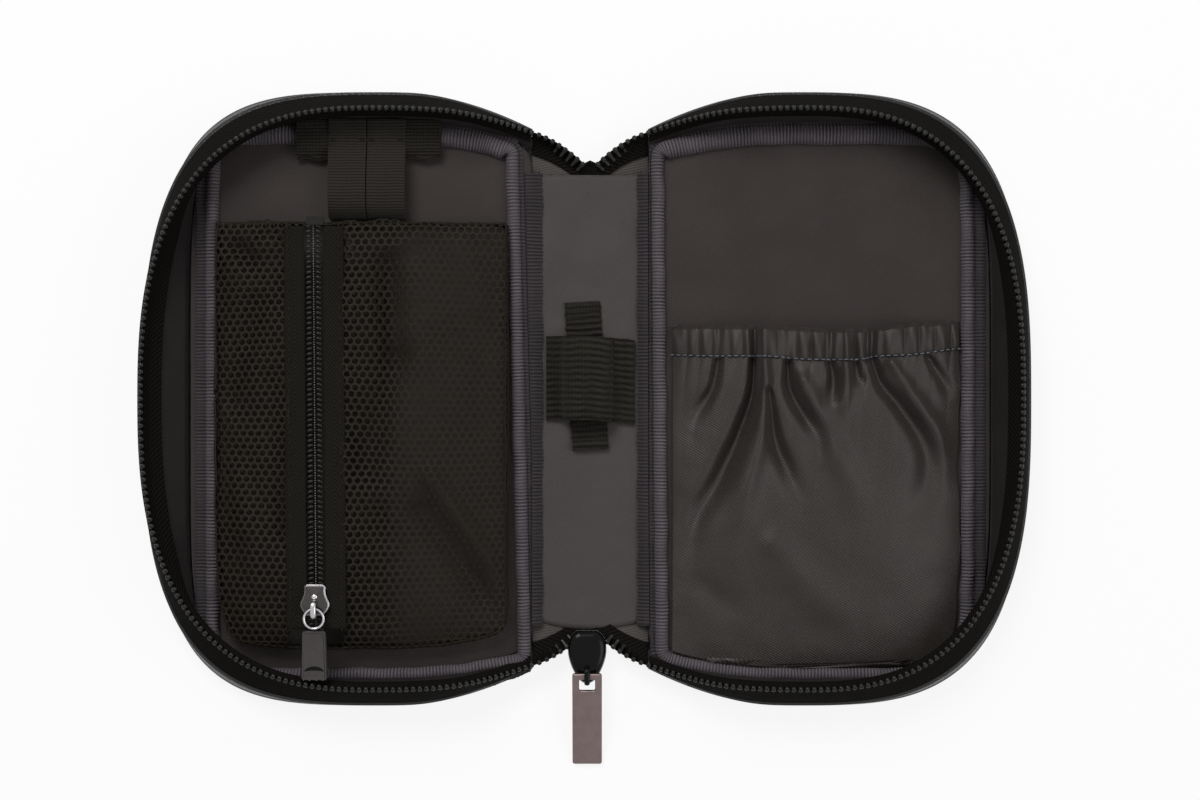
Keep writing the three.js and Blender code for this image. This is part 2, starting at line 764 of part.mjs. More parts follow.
function addPouch() {
  const wall = pouchShape(0);
  wall.holes.push(asHole(pouchShape(meshThickness)));
  addPiece("mesh_gusset", mirrored(plate(wall, floorRest, pouchWallTop - floorRest), -1), mesh);

  const slit = chainWidth / 2;
  const outerEnd = contentsReach - meshThickness;
  const panels = [
    ["mesh_panel_inner", contentsStartX, pouchZipX - slit, (share) => share],
    ["mesh_panel_outer", pouchZipX + slit, outerEnd, (share) => Math.sin((share * Math.PI) / 2)],
  ];
  for (const [name, fromX, toX, spread] of panels) {
    const sheet = drapedSheet({
      columns: meshPanelSteps,
      rows: meshPanelSteps,
      columnX: (share) => THREE.MathUtils.lerp(fromX, toX, spread(share)),
      lowY: (x) => -contentsEdge(x),
      highY: (x) => Math.min(pouchTopY, contentsLine.heightAt(x)),
      heightAt: pouchHeight,
      thickness: meshThickness,
    });
    addPiece(name, mirrored(sheet, -1), mesh);
  }

  const zipZ = pouchCrown + seamGap;
  const tapes = [
    ["pouch_tape_inner", pouchZipX - slit - seamGap - pouchTapeWidth],
    ["pouch_tape_outer", pouchZipX + slit + seamGap],
  ];
  for (const [name, fromX] of tapes) {
    const tape = box(
      fromX, fromX + pouchTapeWidth, pouchZipBottomY, pouchZipTopY, zipZ, zipZ + pouchTapeThickness,
    );
    addPiece(name, mirrored(tape, -1), zipCloth);
  }
  const chain = box(
    pouchZipX - slit, pouchZipX + slit, pouchZipBottomY, pouchZipTopY, zipZ, zipZ + chainThickness,
  );
  addPiece("pouch_zip_teeth", mirrored(chain, -1), zipTeeth);
  const stops = [
    ["pouch_stop_top", pouchZipTopY + seamGap],
    ["pouch_stop_bottom", pouchZipBottomY - seamGap - stopLength],
  ];
  for (const [name, lowY] of stops) {
    const stop = box(
      pouchZipX - slit, pouchZipX + slit, lowY, lowY + stopLength, zipZ, zipZ + chainThickness,
    );
    addPiece(name, mirrored(stop, -1), darkNickel);
  }
}

// Slider that straddles the pouch's teeth from above, its bail, and the ring and tab that swing in the bail
function addPouchSlider() {
  const zipZ = pouchCrown + seamGap;
  const channelHalf = chainWidth / 2 + seamGap;
  const half = pouchSliderWidth / 2;
  const footZ = zipZ + pouchTapeThickness + seamGap;
  const channelTop = zipZ + chainThickness + seamGap;
  const topZ = channelTop + pouchSliderPlate;
  const profile = new THREE.Shape();
  profile.moveTo(-half, footZ);
  profile.lineTo(-channelHalf, footZ);
  profile.lineTo(-channelHalf, channelTop);
  profile.lineTo(channelHalf, channelTop);
  profile.lineTo(channelHalf, footZ);
  profile.lineTo(half, footZ);
  profile.lineTo(half, topZ - pouchSliderPlate / 2);
  profile.lineTo(half - pouchSliderPlate / 2, topZ);
  profile.lineTo(pouchSliderPlate / 2 - half, topZ);
  profile.lineTo(-half, topZ - pouchSliderPlate / 2);
  profile.closePath();
  const body = addPiece("pouch_slider", standingArch(profile, pouchSliderLength), darkNickel);
  body.position.set(-pouchZipX, pouchSliderY, 0);

  const pivotY = pouchSliderY - pouchPullOffset;
  const pivotZ = topZ + seamGap + ringWireRadius + bailHeadroom;
  const bail = addPiece("pouch_slider_bail", bailGeometry(ringWireRadius), darkNickel);
  bail.position.set(-pouchZipX, pivotY, pivotZ);

  const pull = new THREE.Group();
  pull.position.set(-pouchZipX, pivotY, pivotZ);
  pull.rotation.x = THREE.MathUtils.degToRad(pouchPullTilt);
  model.add(pull);
  const ringRadius = ringOuterRadius - ringWireRadius;
  const ring = addPiece(
    "pouch_pull_ring", new THREE.TorusGeometry(ringRadius, ringWireRadius, ringSides, ringSteps), darkNickel,
  );
  ring.position.y = -ringRadius;
  pull.add(ring);

  const tabHalf = pouchTabWidth / 2;
  const start = -ringRadius - ringOuterRadius - seamGap;
  const end = start - pouchTabLength;
  const tab = new THREE.Shape();
  tab.moveTo(-tabHalf + pouchTabCorner, start);
  tab.lineTo(-tabHalf, start - pouchTabCorner);
  tab.lineTo(-tabHalf, end + pouchTabCorner);
  tab.lineTo(-tabHalf + pouchTabCorner, end);
  tab.lineTo(tabHalf - pouchTabCorner, end);
  tab.lineTo(tabHalf, end + pouchTabCorner);
  tab.lineTo(tabHalf, start - pouchTabCorner);
  tab.lineTo(tabHalf - pouchTabCorner, start);
  tab.closePath();
  const tabPlate = plate(tab, -pouchTabThickness / 2, pouchTabThickness);
  pull.add(addPiece("pouch_pull_tab", tabPlate, darkNickel));
}

// Main folds of the pocket's cloth: ends as shares of the pocket, half width and depth
const pocketFolds = [
  { fromShares: [0.14, 0.98], toShares: [0.06, 0.72], width: 4, depth: 0.9 },
  { fromShares: [0.27, 0.72], toShares: [0.08, 0.2], width: 5, depth: 1.2 },
  { fromShares: [0.34, 0.7], toShares: [0.4, 0.42], width: 3, depth: 0.8 },
  { fromShares: [0.54, 0.75], toShares: [0.45, 0.55], width: 3.5, depth: 0.8 },
  { fromShares: [0.9, 0.85], toShares: [0.88, 0.25], width: 3.5, depth: 0.8 },
];

function pocketHeight(x, y) {
  const middle = (contentsStartX + contentsReach) / 2;
  const across = Math.abs(x - middle) / (contentsReach - middle);
  const length = pocketMouthY - pocketHemDepth + contentsLine.heightAt(middle);
  const along = Math.max(pocketMouthY - pocketHemDepth - y, 0) / length;
  const crownShare = (1 - Math.min(across, 1) ** 4) * (1 - Math.min(along, 1) ** 4);
  let height = floorRest + pocketEdgeHeight + pocketCrown * crownShare;
  const span = contentsReach - contentsStartX;
  const lowY = -contentsLine.heightAt(middle);
  const placeOf = ([acrossShare, alongShare]) =>
    new THREE.Vector3(contentsStartX + acrossShare * span, lowY + alongShare * length, 0);
  for (const fold of pocketFolds) {
    const line = new THREE.Line3(placeOf(fold.fromShares), placeOf(fold.toShares));
    const at = new THREE.Vector3(x, y, 0);
    const nearest = line.closestPointToPoint(at, true, new THREE.Vector3());
    const away = nearest.distanceTo(at) / fold.width;
    height -= fold.depth * crownShare * Math.exp(-away * away);
  }
  return height;
}

function addSlipPocket() {
  const outerX = contentsReach - pocketThickness;
  const hemLowY = pocketMouthY - pocketHemDepth;
  const front = drapedSheet({
    columns: pocketColumns,
    rows: pocketRows,
    columnX: (share) => THREE.MathUtils.lerp(contentsStartX, outerX, share),
    lowY: (x) => -contentsEdge(x),
    highY: () => hemLowY - seamGap,
    heightAt: pocketHeight,
    thickness: pocketThickness,
  });
  addPiece("pocket_front", front, pocketCloth);

  const hem = drapedSheet({
    columns: hemGathers * 4,
    rows: 3,
    columnX: (share) => THREE.MathUtils.lerp(contentsStartX, outerX, share),
    lowY: () => hemLowY,
    highY: () => pocketMouthY,
    heightAt: (x) => {
      const share = (x - contentsStartX) / (contentsReach - contentsStartX);
      const gather = hemGatherDepth * Math.cos(2 * Math.PI * hemGathers * share);
      return pocketHeight(x, hemLowY) + hemThickness - pocketThickness + gather;
    },
    thickness: hemThickness,
  });
  addPiece("pocket_hem", hem, pocketCloth);
}

addSpine();
addZipEnds();
addPenLoop();
addMainSlider();
addTray("left", -1, coverReach - rimSideSetbackLeft);
addTray("right", 1, coverReach - rimSideSetbackRight);
addElasticLoops();
addPouch();
addPouchSlider();
addSlipPocket();

export default model;
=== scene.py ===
# %% [markdown]
# A zip-around case for a glucose meter lies open on a table: two padded trays joined by a cloth spine.
# The left tray holds two elastic loops and a zipped mesh pouch, the right one a gathered slip pocket.
# Every length is in metres, +X runs across the trays, +Y to the top end and +Z up from the table.
# The lesson goes from the outside in: light and helpers first, then leather, linings, zips and contents.

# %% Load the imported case
import math

import bmesh
import bpy
import numpy as np
from mathutils import Matrix, Vector


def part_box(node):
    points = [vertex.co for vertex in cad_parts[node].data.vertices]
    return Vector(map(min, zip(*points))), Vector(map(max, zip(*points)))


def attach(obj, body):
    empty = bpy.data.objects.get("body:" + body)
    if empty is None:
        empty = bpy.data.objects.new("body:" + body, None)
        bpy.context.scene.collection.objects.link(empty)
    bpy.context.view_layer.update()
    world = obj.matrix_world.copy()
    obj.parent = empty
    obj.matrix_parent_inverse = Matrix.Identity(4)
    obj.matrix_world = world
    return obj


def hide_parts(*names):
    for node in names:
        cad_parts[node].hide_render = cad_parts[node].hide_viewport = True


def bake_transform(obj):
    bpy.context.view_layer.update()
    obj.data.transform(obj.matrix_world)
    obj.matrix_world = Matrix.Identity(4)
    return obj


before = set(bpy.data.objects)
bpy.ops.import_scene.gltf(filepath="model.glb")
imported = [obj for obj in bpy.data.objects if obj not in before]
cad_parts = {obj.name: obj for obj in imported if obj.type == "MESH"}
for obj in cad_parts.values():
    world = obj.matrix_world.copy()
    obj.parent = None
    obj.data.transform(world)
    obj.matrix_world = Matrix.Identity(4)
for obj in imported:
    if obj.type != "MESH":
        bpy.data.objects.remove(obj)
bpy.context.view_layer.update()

MM = 0.001
SIDES = (("left", -1), ("right", 1))

def into_scene(thing):
    bpy.context.scene.collection.objects.link(thing)
    return thing


# %% [markdown]
# The photograph looks straight down from well above the case, so the walls lean outwards a little.
# A 36 mm sensor at 0.67 m with a lens of about 75 mm gives the same scale and the same slight lean.
# A real product table is pale, so the floor is nearly white: part diffuse, to keep the case's shadow,
# and part glow that only camera, mirror and glass rays see. The case itself gets no extra light from it.

# %% Camera above the case
CAMERA_PLACE = (0.0026, -0.0003, 0.670)
CAMERA_LENS_MM = 75.4

camera = bpy.data.objects.new("camera", bpy.data.cameras.new("camera"))
camera.data.lens = CAMERA_LENS_MM
camera.location = CAMERA_PLACE
bpy.context.scene.camera = into_scene(camera)
bpy.context.scene.view_settings.view_transform = "Standard"

# %% [markdown]
# Shader maths reads best as plain arithmetic. Value wraps one socket, and each operator adds a Math node.
# Finish owns one material. Its node method makes any other node: settings first, then its inputs.
# add_node does that for any tree, so the sky's tree and the geometry trees further down use it too.


# %% Helpers for materials
def add_node(tree, kind, settings=None, inputs=None):
    """Adds a node. An input may be a plain value, a socket, or a node whose first output is meant."""
    made = tree.nodes.new(kind)
    for name, value in (settings or {}).items():
        setattr(made, name, value)
    for key, value in (inputs or {}).items():
        if isinstance(value, Value):
            value = value.socket
        if isinstance(value, bpy.types.Node):
            value = value.outputs[0]
        if isinstance(value, bpy.types.NodeSocket):
            tree.links.new(value, made.inputs[key])
        else:
            made.inputs[key].default_value = value
    return made


class Value:
    """One shader socket that takes part in ordinary arithmetic."""

    def __init__(self, finish, socket):
        self.finish = finish
        self.socket = socket

    def math(self, operation, *others):
        inputs = dict(enumerate((self, *others)))
        return self.finish.node("ShaderNodeMath", {"operation": operation}, inputs)

    def __add__(self, other):
        return self.math("ADD", other)

    def __sub__(self, other):
        return self.math("SUBTRACT", other)

    def __mul__(self, other):
        return self.math("MULTIPLY", other)

    def __truediv__(self, other):
        return self.math("DIVIDE", other)

    def __pow__(self, other):
        return self.math("POWER", other)

    def clamped(self):
        return self.math("MAXIMUM", 0.0).math("MINIMUM", 1.0)


class Finish:
    """One procedural material, built around a single Principled shader."""

    def __init__(self, name, **constants):
        self.material = bpy.data.materials.new(name)
        self.material.use_nodes = True
        self.tree = self.material.node_tree
        self.shader = self.tree.nodes["Principled BSDF"]
        for socket, value in constants.items():
            self.shader.inputs[socket.replace("_", " ")].default_value = value

    def node(self, kind, settings=None, inputs=None, output=0):
        return Value(self, add_node(self.tree, kind, settings, inputs).outputs[output])

    def place(self):
        return self.node("ShaderNodeTexCoord", output="Object")

    def along_cloth(self):
        """The piece's own UV map, in metres: across the cloth and along it."""
        uv = self.node("ShaderNodeUVMap", {"uv_map": "cloth"})
        parts = add_node(self.tree, "ShaderNodeSeparateXYZ", inputs={0: uv})
        return uv, Value(self, parts.outputs["X"]), Value(self, parts.outputs["Y"])

    def noise(self, coordinates, size, detail=3.0, roughness=0.55):
        inputs = {"Vector": coordinates, "Scale": 1 / size, "Detail": detail, "Roughness": roughness}
        return self.node("ShaderNodeTexNoise", inputs=inputs, output="Fac")

    def mix(self, amount, low, high):
        inputs = {0: amount, 6: (*low, 1.0), 7: (*high, 1.0)}
        return self.node("ShaderNodeMix", {"data_type": "RGBA"}, inputs, output=2)

    def bump(self, height, depth, strength=1.0, **under):
        inputs = {"Height": height, "Distance": depth, "Strength": strength, **under}
        return self.node("ShaderNodeBump", inputs=inputs, output="Normal")

    def feed(self, **sockets):
        for socket, value in sockets.items():
            self.tree.links.new(value.socket, self.shader.inputs[socket.replace("_", " ")])
        return self.material


def linear(level):
    """One channel of a display colour, 0 to 255, as linear light."""
    share = level / 255
    return share / 12.92 if share <= 0.04045 else ((share + 0.055) / 1.055) ** 2.4


def shade(red, green, blue):
    return tuple(linear(level) for level in (red, green, blue))


def brighter(colour, factor):
    return tuple(channel * factor for channel in colour)


def wave(coordinate, pitch):
    """A ripple from 0 to 1 that repeats once a pitch."""
    return (coordinate * (2 * math.pi / pitch)).math("SINE") * 0.5 + 0.5


# %% [markdown]
# A larger lamp stands behind the case on the left and a weaker one on the right. The table and the sky
# are bright for rays that come straight from the camera and dimmer for the case itself, so the picture's
# ground is white while the black cloth keeps its depth.

# %% Floor, lamps and surroundings
FLOOR_SIZE = 6.0
FLOOR_GLOW_SHARE = 0.86
FLOOR_DROP = 0.0001
FLOOR_COLOUR = (0.93, 0.93, 0.93, 1.0)
KEY_LAMP = {"place": (-0.35, 0.75, 0.95), "size": 0.55, "power": 10.0}
SIDE_LAMP = {"place": (0.85, -0.15, 0.85), "size": 0.7, "power": 4.2}
SKY_LEVEL = 0.30


def seen_directly(tree):
    """1 on rays that reach the camera straight, in a mirror or through glass, and 0 on all others."""
    path = add_node(tree, "ShaderNodeLightPath")
    total = path.outputs["Is Camera Ray"]
    for output in ("Is Glossy Ray", "Is Transmission Ray"):
        pair = {0: total, 1: path.outputs[output]}
        total = add_node(tree, "ShaderNodeMath", {"operation": "MAXIMUM"}, pair)
    return total


def make_floor():
    finish = Finish("pale_table", Base_Color=FLOOR_COLOUR, Roughness=0.9)
    tree = finish.tree
    sight = {0: seen_directly(tree), 1: FLOOR_GLOW_SHARE}
    share = add_node(tree, "ShaderNodeMath", {"operation": "MULTIPLY"}, sight)
    glow = add_node(tree, "ShaderNodeEmission")
    mixed = add_node(tree, "ShaderNodeMixShader", inputs={0: share, 1: finish.shader, 2: glow})
    tree.links.new(mixed.outputs[0], tree.nodes["Material Output"].inputs["Surface"])
    half = FLOOR_SIZE / 2
    corners = [(-half, -half), (half, -half), (half, half), (-half, half)]
    table = bpy.data.meshes.new("table")
    table.from_pydata([(x, y, -FLOOR_DROP) for x, y in corners], [], [(0, 1, 2, 3)])
    table.materials.append(finish.material)
    into_scene(bpy.data.objects.new("table", table))


def make_lamp(name, place, size, power):
    lamp = bpy.data.objects.new(name, bpy.data.lights.new(name, "AREA"))
    lamp.data.energy = power
    lamp.data.size = size
    lamp.location = place
    lamp.rotation_euler = Vector(place).to_track_quat("Z", "Y").to_euler()
    into_scene(lamp)


def make_sky():
    world = bpy.data.worlds.new("studio")
    bpy.context.scene.world = world
    world.use_nodes = True
    background = world.node_tree.nodes["Background"]
    background.inputs["Color"].default_value = (1.0, 1.0, 1.0, 1.0)
    levels = {"Value": seen_directly(world.node_tree), "To Min": SKY_LEVEL, "To Max": 1.0}
    level = add_node(world.node_tree, "ShaderNodeMapRange", inputs=levels)
    world.node_tree.links.new(level.outputs[0], background.inputs["Strength"])


make_floor()
make_lamp("key_lamp", **KEY_LAMP)
make_lamp("side_lamp", **SIDE_LAMP)
make_sky()
print("lamps", KEY_LAMP["power"], SIDE_LAMP["power"], "sky", SKY_LEVEL)

# %% [markdown]
# Nearly every part of the case follows a line: a seam, a rim or an outline. These helpers measure a path,
# put points on it by even steps and round its corners, so the cells below only say what is special.

# %% Helpers for paths
UP = (0, 0, 1)
NEARLY_ZERO = 1e-9
CURVE_STEPS = 24


def smooth_step(amount):
    share = np.clip(amount, 0, 1)
    return share * share * (3 - 2 * share)


def full_turn(count):
    return np.linspace(0, 2 * math.pi, count, endpoint=False)


def unit(vectors):
    """The same directions, each one long."""
    return vectors / np.maximum(np.linalg.norm(vectors, axis=1, keepdims=True), NEARLY_ZERO)


def facing(points, direction):
    """The same direction at every point of a path."""
    return np.tile(np.asarray(direction, float), (len(points), 1))


def lift(flat, height, side=1):
    """Flat points at a height, turned over to the left when the side is -1."""
    return np.column_stack([flat[:, 0] * side, flat[:, 1], np.broadcast_to(height, len(flat))])


def walked_along(path):
    """How far each point of a path has come."""
    return np.concatenate([[0], np.cumsum(np.linalg.norm(np.diff(path, axis=0), axis=1))])


def at_distances(path, walked, at):
    """A path's points, or whatever is stored beside them, at given distances."""
    return np.column_stack([np.interp(at, walked, path[:, k]) for k in range(path.shape[1])])


def even_walk(points, step):
    """Points at even steps along a path. Columns after the third are carried along."""
    walked = walked_along(points[:, :3])
    count = max(int(walked[-1] / step), 2)
    return at_distances(points, walked, np.linspace(0, walked[-1], count))


def even_outline(outline, count):
    """A closed outline, walked by even steps."""
    closed = np.vstack([outline, outline[:1]])
    walked = walked_along(closed)
    return at_distances(closed, walked, np.linspace(0, walked[-1], count, endpoint=False))


def smooth_curve(points, count):
    """A smooth curve through a few given points, walked by even steps."""
    points = np.asarray(points, float)
    ends = np.vstack([2 * points[0] - points[1], points, 2 * points[-1] - points[-2]])
    t = np.linspace(0, 1, CURVE_STEPS, endpoint=False)[:, None]
    pieces = []
    for a, b, c, d in zip(ends, ends[1:], ends[2:], ends[3:]):
        square, cube = 2 * a - 5 * b + 4 * c - d, 3 * b - a - 3 * c + d
        pieces.append(0.5 * (2 * b + (c - a) * t + square * t**2 + cube * t**3))
    path = np.vstack([*pieces, points[-1:]])
    walked = walked_along(path)
    return at_distances(path, walked, np.linspace(0, walked[-1], count))


def puckers(shares, length, seed):
    """Slow uneven swells along a seam, between -1 and 1."""
    walked = np.asarray(shares) * length
    swells = ((0.0113, 0.4), (0.0171, 0.3), (0.0269, 0.2), (0.0073, 0.1))
    return sum(
        weight * np.sin(2 * math.pi * walked / pitch + seed * (k + 1.7))
        for k, (pitch, weight) in enumerate(swells)
    )


# %% [markdown]
# A tray is drawn by three outlines: the leather cover on the table, the rim with the zip, and the floor.
# Each is two superellipse quarters that meet at the crest, because the photographed corners are neither
# round nor square. The same line can be walked by even steps, so ribs and teeth keep their spacing.

# %% Outlines of a tray
CREST_X = 0.056
TRAY_START_X = 0.0153
INNER_CORNER_POWER = 2.5
RIM_CORNER_POWER = 2.6
COVER_INNER_REACH = 0.075
RIM_INNER_REACH = 0.083
RIM_REACH = {"left": 0.1172, "right": 0.1130}
COVER_CORNER_POWER = {"left": 3.6, "right": 3.2}
FLOOR_CORNER_POWER = {"left": 6.0, "right": 5.0}
SEAM_CORNER_POWER = {"left": 20.0, "right": 11.0}
SEAM_HALF = 0.0700
SEAM_REACH = 0.0982
SEAM_INNER_REACH = 0.0777
RIM_OVERHANG = 0.0008
FOLD_RISE_LENGTH = 0.024
FOLD_RISE_SHARE = 0.22
WALL_TAPER_LENGTH = 0.032
LEAST_TAPER = 0.1
WALK_SAMPLES = 3000
COVER_CORNER_DROP = 0.0022
CORNER_DROP_FAR = 0.050
CORNER_DROP_WIDTH = 0.035

cover_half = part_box("right_piping")[1].y
cover_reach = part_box("right_piping")[1].x
floor_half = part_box("right_foam")[1].y
floor_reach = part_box("right_foam")[1].x
rim_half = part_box("right_zip_tape")[1].y - RIM_OVERHANG
rim_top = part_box("right_zip_teeth")[1].z
wall_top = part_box("right_gusset")[1].z
floor_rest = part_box("right_binding")[0].z
spine_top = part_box("spine_lining")[1].z


def near_fold(x):
    """1 at the fold and 0 well out on the tray."""
    return smooth_step((CORNER_DROP_FAR - x) / CORNER_DROP_WIDTH)


class TrayLine:
    """One outline of a tray, walked from the fold's top end round the outside to its bottom end."""

    def __init__(self, half_height, reach, inner_reach, outer_power, corner_drop=0.0):
        self.half_height = half_height
        self.outer_reach = reach - CREST_X
        self.inner_reach = inner_reach
        self.outer_power = outer_power
        self.corner_drop = corner_drop
        start_angle = math.atan2(self.height_at(TRAY_START_X), TRAY_START_X - CREST_X)
        angles = np.linspace(start_angle, -start_angle, WALK_SAMPLES)
        across, along = np.cos(angles), np.sin(angles)
        reach, power = self.quarter(across)
        radius = (np.abs(across / reach) ** power + np.abs(along / half_height) ** power) ** (-1 / power)
        self.path = np.column_stack([CREST_X + radius * across, radius * along])
        self.path[:, 1] -= np.sign(self.path[:, 1]) * corner_drop * near_fold(self.path[:, 0])
        self.walked = walked_along(self.path)
        self.length = self.walked[-1]

    def quarter(self, beyond):
        """The reach and the power of the quarter outside the crest, or of the one beside the fold."""
        outside = np.asarray(beyond) > 0
        reach = np.where(outside, self.outer_reach, self.inner_reach)
        return reach, np.where(outside, self.outer_power, INNER_CORNER_POWER)

    def height_at(self, x):
        """Half the tray's height at one place across it."""
        beyond = np.asarray(x) - CREST_X
        reach, power = self.quarter(beyond)
        share = np.minimum(np.abs(beyond) / reach, 1)
        return self.half_height * (1 - share**power) ** (1 / power)

    def reach_at(self, y):
        """How far across the outer side lies at one height."""
        share = np.minimum(np.abs(y) / self.half_height, 1)
        return CREST_X + self.outer_reach * (1 - share**self.outer_power) ** (1 / self.outer_power)

    def points(self, shares, inset=0.0):
        """Points at shares of the length, moved inwards, and never past the fold."""
        walked = np.asarray(shares) * self.length
        slope = np.column_stack([np.gradient(self.path[:, k], self.walked) for k in (0, 1)])
        at = at_distances(self.path, self.walked, walked)
        along = at_distances(slope, self.walked, walked)
        x = np.maximum(at[:, 0] + inset * along[:, 1], TRAY_START_X)
        return np.column_stack([x, at[:, 1] - inset * along[:, 0]])


class Tray:
    """The outlines of one tray and the points on its wall."""

    def __init__(self, name, side):
        self.name = name
        self.side = side
        self.body = f"{name}_shell"
        cover = (cover_half, cover_reach, COVER_INNER_REACH, COVER_CORNER_POWER[name], COVER_CORNER_DROP)
        self.lines = {
            "cover": TrayLine(*cover),
            "rim": TrayLine(rim_half, RIM_REACH[name], RIM_INNER_REACH, RIM_CORNER_POWER),
            "floor": TrayLine(floor_half, floor_reach, COVER_INNER_REACH, FLOOR_CORNER_POWER[name]),
            "seam": TrayLine(SEAM_HALF, SEAM_REACH, SEAM_INNER_REACH, SEAM_CORNER_POWER[name]),
        }

    def from_fold(self, shares):
        """How far along the rim the nearer end at the fold is."""
        return np.minimum(shares, 1 - np.asarray(shares)) * self.lines["rim"].length

    def taper_at(self, shares):
        """How far the padded wall still stands out: all of it, and a little beside the spine."""
        return LEAST_TAPER + (1 - LEAST_TAPER) * smooth_step(self.from_fold(shares) / WALL_TAPER_LENGTH)

    def height_on(self, shares, height):
        """A height on the wall, less where the wall sinks towards the spine."""
        above = max(height - floor_rest, 0)
        climb = smooth_step(self.from_fold(shares) / FOLD_RISE_LENGTH)
        kept = FOLD_RISE_SHARE + (1 - FOLD_RISE_SHARE) * climb
        return height - above + above * kept

    def wall(self, shares, line, inset, height):
        """Points round the tray on one line, at one height above the table."""
        return lift(self.lines[line].points(shares, inset), self.height_on(shares, height), self.side)


trays = {name: Tray(name, side) for name, side in SIDES}
for tray in trays.values():
    print(tray.name, "rim runs", round(tray.lines["rim"].length, 4))

# %% [markdown]
# Most parts of the case are strips or sheets. Two helpers make them all: skin joins equal rings of points
# into a closed body, and panel turns a grid of points into a sheet that a Solidify modifier thickens.
# Both write a map named cloth in real metres, so a weave has the same pitch on every piece.


def link(name, mesh, smooth_angle=50):
    mesh.shade_smooth()
    mesh.set_sharp_from_angle(angle=math.radians(smooth_angle))
    piece = bpy.data.objects.new(name, mesh)
    bpy.context.scene.collection.objects.link(piece)
    return piece


def steps_along(points, axis):
    """Distance walked through a grid of points along one axis, as its mean over the other."""
    steps = np.linalg.norm(np.diff(points, axis=axis), axis=2).mean(axis=1 - axis)
    return np.concatenate([[0], np.cumsum(steps)])


def grid_mesh(name, points, wraps_across=False, wraps_along=False, capped=False):
    """A mesh of quads over points[along][across], with its cloth map."""
    points = np.asarray(points, float)
    along_count, across_count = points.shape[:2]
    closed = points
    if wraps_across:
        closed = np.concatenate([closed, closed[:, :1]], axis=1)
    if wraps_along:
        closed = np.concatenate([closed, closed[:1]], axis=0)
    across_place = steps_along(closed, 1)
    along_place = steps_along(closed, 0)
    rows, columns = len(along_place) - 1, len(across_place) - 1
    i, j = (part.ravel() for part in np.meshgrid(np.arange(rows), np.arange(columns), indexing="ij"))
    corner_steps = ((0, 0), (1, 0), (1, 1), (0, 1))
    faces = [((i + a) % along_count) * across_count + (j + b) % across_count for a, b in corner_steps]
    maps = [(across_place[j + b], along_place[i + a]) for a, b in corner_steps]
    mesh = bpy.data.meshes.new(name)
    quads = np.column_stack(faces).tolist()
    ends = []
    if capped:
        first = list(range(across_count))
        ends = [first[::-1], [v + (along_count - 1) * across_count for v in first]]
    mesh.from_pydata(points.reshape(-1, 3).tolist(), [], quads + ends)
    layer = mesh.uv_layers.new(name="cloth")
    flat = np.column_stack([np.column_stack(pair) for pair in maps]).ravel()
    end_map = np.zeros(2 * sum(len(end) for end in ends))
    layer.data.foreach_set("uv", np.concatenate([flat, end_map]).astype(np.float32))
    return mesh


def face_outwards(mesh):
    shaped = bmesh.new()
    shaped.from_mesh(mesh)
    bmesh.ops.recalc_face_normals(shaped, faces=shaped.faces)
    shaped.to_mesh(mesh)
    shaped.free()


def skin(name, rings, looped=False, smooth_angle=50):
    """A closed body through equal rings of points."""
    mesh = grid_mesh(name, rings, wraps_across=True, wraps_along=looped, capped=not looped)
    face_outwards(mesh)
    return link(name, mesh, smooth_angle)


def panel(name, points, thickness, smooth_angle=50):
    """A sheet over a grid of points, which is its upper face, with cloth below it."""
    mesh = grid_mesh(name, points)
    upward = sum(face.normal.z * face.area for face in mesh.polygons)
    if upward < 0:
        mesh.flip_normals()
    piece = link(name, mesh, smooth_angle)
    wall = piece.modifiers.new("thickness", "SOLIDIFY")
    wall.thickness = thickness
    wall.offset = -1
    return piece


def dress(piece, material, slot, *nodes, body=None):
    """Gives a piece its finish, hides the solids it stands for and hangs it on a body, if one is given."""
    if material:
        piece.data.materials.clear()
        piece.data.materials.append(material)
    if nodes:
        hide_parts(*nodes)
    if body:
        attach(piece, body)
    return piece


def bend_at_fold(piece):
    """Bakes a piece's placement into its own mesh."""
    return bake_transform(piece)


def from_tree(name, tree, host, **sizes):
    """Runs a geometry tree on a host and keeps its result as a plain mesh."""
    modifier = host.modifiers.new("tree", "NODES")
    modifier.node_group = tree
    for item in tree.interface.items_tree:
        label = item.name.replace(" ", "_").lower()
        if item.in_out == "INPUT" and label in sizes:
            modifier[item.identifier] = sizes[label]
    grown = host.evaluated_get(bpy.context.evaluated_depsgraph_get())
    mesh = bpy.data.meshes.new_from_object(grown)
    bpy.data.objects.remove(host)
    mesh.name = name
    return mesh


# %% [markdown]
# Black leather is never flat black: pebbles a little under a millimetre catch the lamps, worn patches are
# a little lighter, and the creases are rougher. Plastic, enamel and thread need less: one fine noise moves
# both tone and gloss.


# %% Leather, plastic, thread and metal
def make_leather(name, colour, pebble, roughness):
    finish = Finish(name, IOR=1.38)
    place = finish.place()
    inputs = {"Vector": place, "Scale": 1 / pebble, "Smoothness": 0.35}
    cells = finish.node("ShaderNodeTexVoronoi", {"feature": "SMOOTH_F1"}, inputs, output="Distance")
    creases = finish.noise(place, pebble * 6)
    wear = finish.noise(place, 0.02)
    raised = cells * -1.0 + creases * 0.6
    tone = finish.mix((wear * 0.7 + creases * 0.4 - 0.2).clamped(), colour, brighter(colour, 2.1))
    gloss = creases * 0.2 + (roughness - 0.08)
    return finish.feed(Base_Color=tone, Roughness=gloss, Normal=finish.bump(raised, 0.00022, 0.75))


